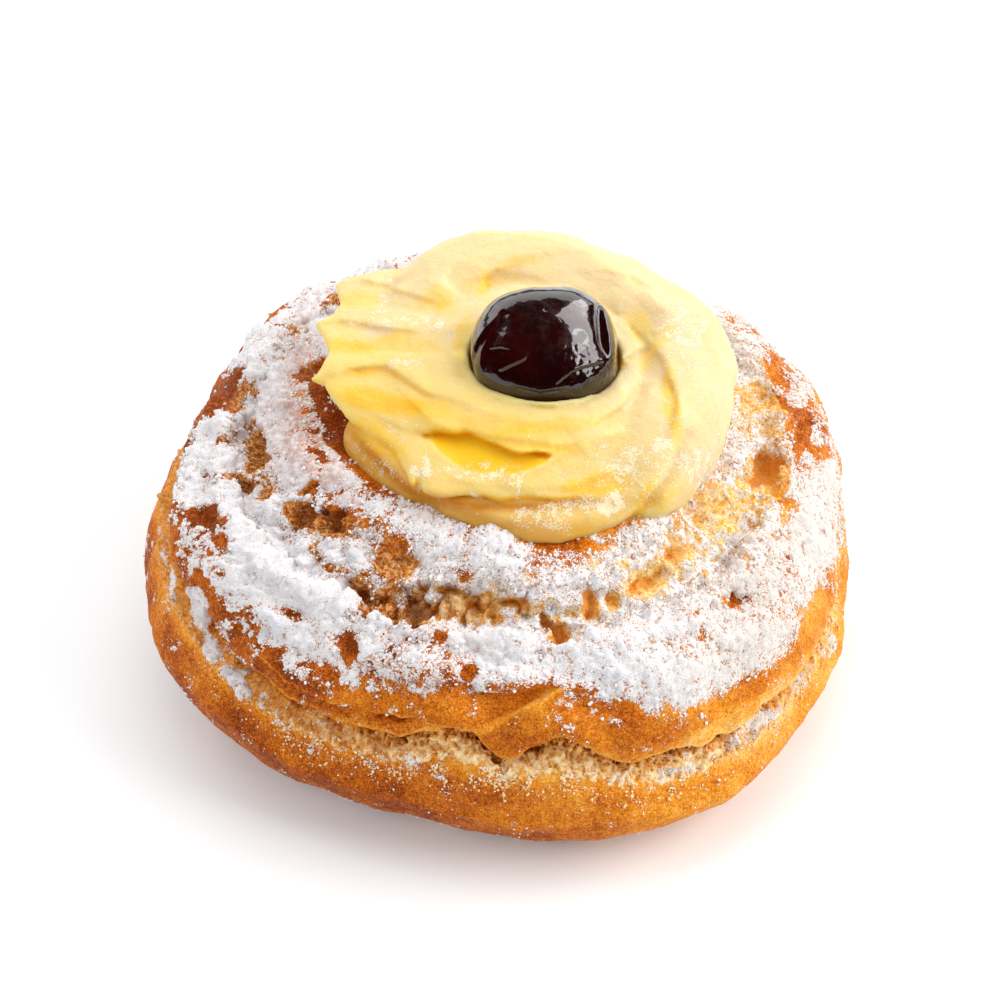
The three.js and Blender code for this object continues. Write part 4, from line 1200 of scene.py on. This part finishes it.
gv, gt = build_grains()
grains = new_mesh("sugar_grains", gv, gt, smooth=False)
loose = sugar_material("loose_sugar", False)
grains.data.materials.append(loose)
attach(grains, "root")


lv, lt, _, lx = build_sugar(2.0, 11.15, 35.0, 0.30)
low_coat = new_mesh("sugar_low", lv, lt, lx)
low_coat.data.materials.append(powdered)
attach(low_coat, "root")


def build_fallen():
    """Powder lumps that fell on the lower turn, into the split and down the flank."""
    n, us = 900, np.linspace(1.5, 11.2, 90)
    deg = spaced(n)
    P, N, f = ring_surface(deg, us)
    amount, _ = sugar_amount(P, f)
    w = step(amount, -0.05, 0.4) ** 1.5 * (1 - 0.6 * step(amount, 0.5, 0.9)) + 0.004 * step(us, 3, 7)[None, :] * f["seen"] * step(P[..., 2], 6, 16)
    w = (w * (N @ CAM_BACK > -0.3)).ravel()
    rng = np.random.default_rng(53)
    pick = rng.choice(len(w), 2400, replace=False, p=w / w.sum())
    r = 0.05 + 0.11 * rng.random(len(pick)) ** 2.0
    return scatter(P.reshape(-1, 3)[pick], N.reshape(-1, 3)[pick], r, 57, sink=0.1)


dv, dt = build_fallen()
fallen = new_mesh("fallen_sugar", dv, dt, smooth=False)
fallen.data.materials.append(loose)
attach(fallen, "root")


# ---------------------------------------------------------------- cherry
CHERRY_FOLDS = [
    # polyline in the frame, half widths on its left and right, heights (mm)
    ([(503, 309), (497, 322), (490, 337), (484, 352), (483, 372)], 5, 6, -0.42, 0.30),
    ([(500, 316), (488, 330), (478, 346), (474, 362)], 3, 3, -0.35, 0.25),
    ([(600, 302), (605, 318), (609, 338), (612, 358)], 5, 4, 0.5, -0.7),
    ([(486, 349), (500, 347), (516, 351)], 3, 3, 0.22, -0.22),
    ([(499, 372), (510, 366), (524, 360), (530, 352)], 3, 4, 0.25, -0.3),
    ([(556, 384), (572, 372), (590, 366), (606, 362)], 4, 4, 0.25, -0.28),
    ([(512, 386), (540, 392), (566, 388)], 4, 4, 0.2, -0.3),
]


def build_cherry():
    c, a, b, h = CHERRY[0], CHERRY[1] - 0.25, CHERRY[2] - 0.2, CHERRY[3] - 0.3
    n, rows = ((244, 156))
    az = np.arange(n) / n * 2 * math.pi
    el = np.linspace(-math.pi / 2, math.pi / 2, rows)
    A, E = np.meshgrid(az, el, indexing="ij")
    d = np.stack([np.cos(E) * np.cos(A), np.cos(E) * np.sin(A), np.sin(E)], -1)
    # a little fuller than an ellipsoid
    p = 2.55
    q = (np.abs(d[..., 0]) ** p + np.abs(d[..., 1]) ** p + np.abs(d[..., 2]) ** p) ** (-1 / p)
    d3 = d * q[..., None]
    P = c + d3 * np.array([a, b, h])
    N = np.cross(np.roll(P, -1, 0) - np.roll(P, 1, 0), np.gradient(P, axis=1))
    N /= np.maximum(np.linalg.norm(N, axis=-1, keepdims=True), 1e-9)
    N[:, 0], N[:, -1] = [0, 0, -1], [0, 0, 1]
    x, y = to_px(P)
    seen = step(N @ CAM_BACK, -0.1, 0.2)
    k = strokes(x, y, CHERRY_FOLDS, 1.5) * seen
    # a flatter facet, tipped to the right and the front
    r2 = ((x - 578) ** 2 + (y - 328) ** 2) / 24.0 ** 2
    k += seen * (0.92 * ((578 - x) * 0.50 + (328 - y) * 0.86) / 24.0 - 0.62) * np.exp(-r2 / 2)
    k += 0.20 * fbm(P, 7.0, 2, 101) + 0.03 * fbm(P, 2.6, 2, 102)
    # fine puckers of the candied skin, strongest low on the right
    w1, w2 = worley(P, 1.5, 103)
    rough = 0.12 + 0.88 * (1 - step(in_ellipse(x, y, 583, 366, 34, 26), 0.4, 1.3))
    k -= 0.05 * rough * (1 - step(w2 - w1, 0.0, 0.22))
    k += 0.05 * rough * perlin(P, 0.7, 104)
    # the back, where nothing was seen: two soft lengthwise folds
    back = 1 - seen
    k -= back * 0.5 * bump(np.degrees(A), 70, 12) * np.cos(E) + back * 0.4 * bump(np.degrees(A), 125, 10) * np.cos(E)
    ends = np.sin(np.clip((E / math.pi + 0.5), 0.0, 1.0) * math.pi) ** 0.25
    P = P + N * (k * ends)[..., None]
    P[:, 0], P[:, -1] = P[:, 0].mean(0), P[:, -1].mean(0)
    return closed_ring_mesh(P)


def cherry_material():
    m = Nodes("candied_cherry")
    streak = m.noise(260, 4, 0.6, 0.6)
    thin = m.smooth(m.noise(90, 3, 0.5), 0.42, 0.72)
    col = m.ramp(streak, [(0.3, lin(16, 1, 2)), (0.6, lin(30, 3, 3)), (0.85, lin(58, 7, 5))])
    col = m.mix(m.math("MULTIPLY", thin, 0.25), col, lin(70, 10, 6))
    height = m.math("ADD", m.math("MULTIPLY", m.noise(1300, 4, 0.65), 0.8), m.math("MULTIPLY", m.noise(420, 3, 0.5), 0.9))
    m.set(Base_Color=col, Roughness=m.smooth(m.noise(700, 3, 0.6), 0.35, 0.7, 0.16, 0.36), Normal=m.bump(height, 0.00006, 0.4))
    m.bsdf.inputs["Specular IOR Level"].default_value = 0.15
    m.bsdf.inputs["Coat Weight"].default_value = 1.0
    m.bsdf.inputs["Coat Roughness"].default_value = 0.045
    m.bsdf.inputs["Coat IOR"].default_value = 1.56
    return m.mat


cv, ct = build_cherry()
cherry = new_mesh("candied_cherry", cv, ct)
cherry.data.materials.append(cherry_material())
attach(cherry, "root")
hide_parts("cherry")


# ---------------------------------------------------------------- what lies on the cream
cream_n = np.cross(pts[faces[:, 1]] - pts[faces[:, 0]], pts[faces[:, 2]] - pts[faces[:, 0]])
cream_vn = np.zeros_like(pts)
for k in range(3):
    np.add.at(cream_vn, faces[:, k], cream_n)
cream_vn /= np.maximum(np.linalg.norm(cream_vn, axis=1, keepdims=True), 1e-12)
cream_px = to_px(pts)
cream_near = -(pts - CAM_POS) @ CAM_BACK


def on_cream(x, y):
    """Index of the cream's vertex that shows at a frame position."""
    near = np.hypot(cream_px[0] - x, cream_px[1] - y) + (cream_vn @ CAM_BACK < 0.05) * 1e3
    close = np.where(near < 4.0)[0]
    return close[np.argmin(cream_near[close])] if len(close) else int(np.argmin(near))


VANILLA = [(556, 288, 0.34), (553, 406, 0.15), (560, 407, 0.24), (565, 404, 0.13), (605, 405, 0.15), (609, 403, 0.12), (577, 421, 0.2),
           (551, 424, 0.15), (600, 400, 0.12), (548, 408, 0.11), (596, 406, 0.10), (430, 345, 0.09), (680, 420, 0.10), (520, 250, 0.10)]
at = [on_cream(x, y) for x, y, _ in VANILLA]
vv, vt = scatter(pts[at], cream_vn[at], np.array([r for _, _, r in VANILLA]), 37, sink=0.6)
seeds = new_mesh("vanilla_specks", vv, vt)
vm = Nodes("vanilla_speck")
vm.set(Base_Color=vm.ramp(vm.noise(3000, 2), [(0.3, lin(40, 20, 10)), (0.7, lin(92, 50, 24))]), Roughness=0.6)
seeds.data.materials.append(vm.mat)
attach(seeds, "root")

rng = np.random.default_rng(41)
w = np.clip(values["fleck"] - 0.16, 0, 1) ** 1.6 * (cream_vn[:, 2] > 0.15)
w = w * (0.15 + step(fbm(pts, 1.6, 2, 99), 0.1, 0.45))
top_side = (cream_vn[:, 2] > 0.3) * 0.0025
w = w + top_side * (w.max())
pick = rng.choice(len(pts), 900, replace=False, p=w / w.sum())
fv, ft = scatter(pts[pick], cream_vn[pick], 0.08 + 0.17 * rng.random(len(pick)) ** 2.0, 43, sink=0.35)
flecks = new_mesh("sugar_flecks", fv, ft, smooth=False)
flecks.data.materials.append(loose)
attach(flecks, "root")

# ---------------------------------------------------------------- stage, light, camera
floor = new_mesh("floor", np.array([[-900, -700, 0], [900, -700, 0], [900, 1500, 0], [-900, 1500, 0]], float) - SHIFT - [0, 0, 0.05],
                 np.array([[0, 1, 2, 3]]), smooth=False)
fm = Nodes("floor")
fm.set(Base_Color=fm.ramp(fm.noise(3, 2), [(0.0, (0.86, 0.86, 0.86)), (1.0, (0.9, 0.9, 0.9))]), Roughness=0.9)
fm.bsdf.inputs["Emission Color"].default_value = (0.72, 1.0, 1.1, 1)
fm.bsdf.inputs["Emission Strength"].default_value = 0.12
floor.data.materials.append(fm.mat)


def area(name, size, energy, at, aim, colour=(1, 1, 1)):
    light = bpy.data.lights.new(name, "AREA")
    light.shape = "RECTANGLE"
    light.size, light.size_y = size
    light.energy = energy
    light.color = colour
    ob = bpy.data.objects.new(name, light)
    bpy.context.scene.collection.objects.link(ob)
    from mathutils import Vector
    ob.location = Vector(at)
    ob.rotation_mode = "QUATERNION"
    ob.rotation_quaternion = (Vector(aim) - Vector(at)).to_track_quat("-Z", "Y")
    return ob


area("key", (0.72, 0.54), 7.2, (0.77, -0.09, 0.61), (0, 0, 0.03), (1.0, 0.985, 0.96))
area("back", (1.5, 0.46), 3.4, (0.0, 0.88, 0.36), (0, 0, 0.03))
# a card that only glosses
area("card", (0.8, 0.7), 9.0, (0.56, 0.56, 0.67), (0, 0, 0.03), (1.0, 0.93, 0.94)).visible_diffuse = False
# broad soft light that only fills: it makes no gloss
for name, size, energy, at in (("top", (1.3, 0.9), 4.6, (-0.15, 0.35, 1.0)), ("left", (0.7, 0.7), 2.6, (-0.75, -0.35, 0.7))):
    area(name, size, energy, at, (0, 0, 0.03), (1.0, 0.985, 0.985)).visible_glossy = False

# a pale room: bright above and behind, darker towards the camera's side
world = bpy.data.worlds.new("studio")
bpy.context.scene.world = world
world.use_nodes = True
wt = world.node_tree
sky = wt.nodes["Background"]
split = wt.nodes.new("ShaderNodeSeparateXYZ")
wt.links.new(wt.nodes.new("ShaderNodeTexCoord").outputs["Generated"], split.inputs[0])
lean = wt.nodes.new("ShaderNodeMath")
lean.operation = "MULTIPLY_ADD"
wt.links.new(split.outputs[1], lean.inputs[0])
lean.inputs[1].default_value = 0.55
wt.links.new(split.outputs[2], lean.inputs[2])
span = wt.nodes.new("ShaderNodeMapRange")
wt.links.new(lean.outputs[0], span.inputs[0])
span.inputs[1].default_value, span.inputs[2].default_value = -0.5, 1.0
span.inputs[3].default_value, span.inputs[4].default_value = 0.30, 0.62
wt.links.new(span.outputs[0], sky.inputs[1])
sky.inputs[0].default_value = (1.0, 1.0, 1.0, 1.0)
world.cycles_visibility.glossy = False

cam_data = bpy.data.cameras.new("camera")
cam_data.lens = LENS
cam_data.sensor_width = 36
cam_data.clip_start, cam_data.clip_end = 0.01, 10
cam_data.shift_x = (500 - CAM_CX) / 1000
cam_data.shift_y = (CAM_CY - 500) / 1000
cam = bpy.data.objects.new("camera", cam_data)
bpy.context.scene.collection.objects.link(cam)
from mathutils import Vector
cam.location = Vector((CAM_POS + SHIFT) * MM)
cam.rotation_mode = "QUATERNION"
cam.rotation_quaternion = Vector(-CAM_BACK).to_track_quat("-Z", "Y")
bpy.context.scene.camera = cam
bpy.context.scene.view_settings.view_transform = "Standard"
bpy.context.scene.view_settings.look = "None"
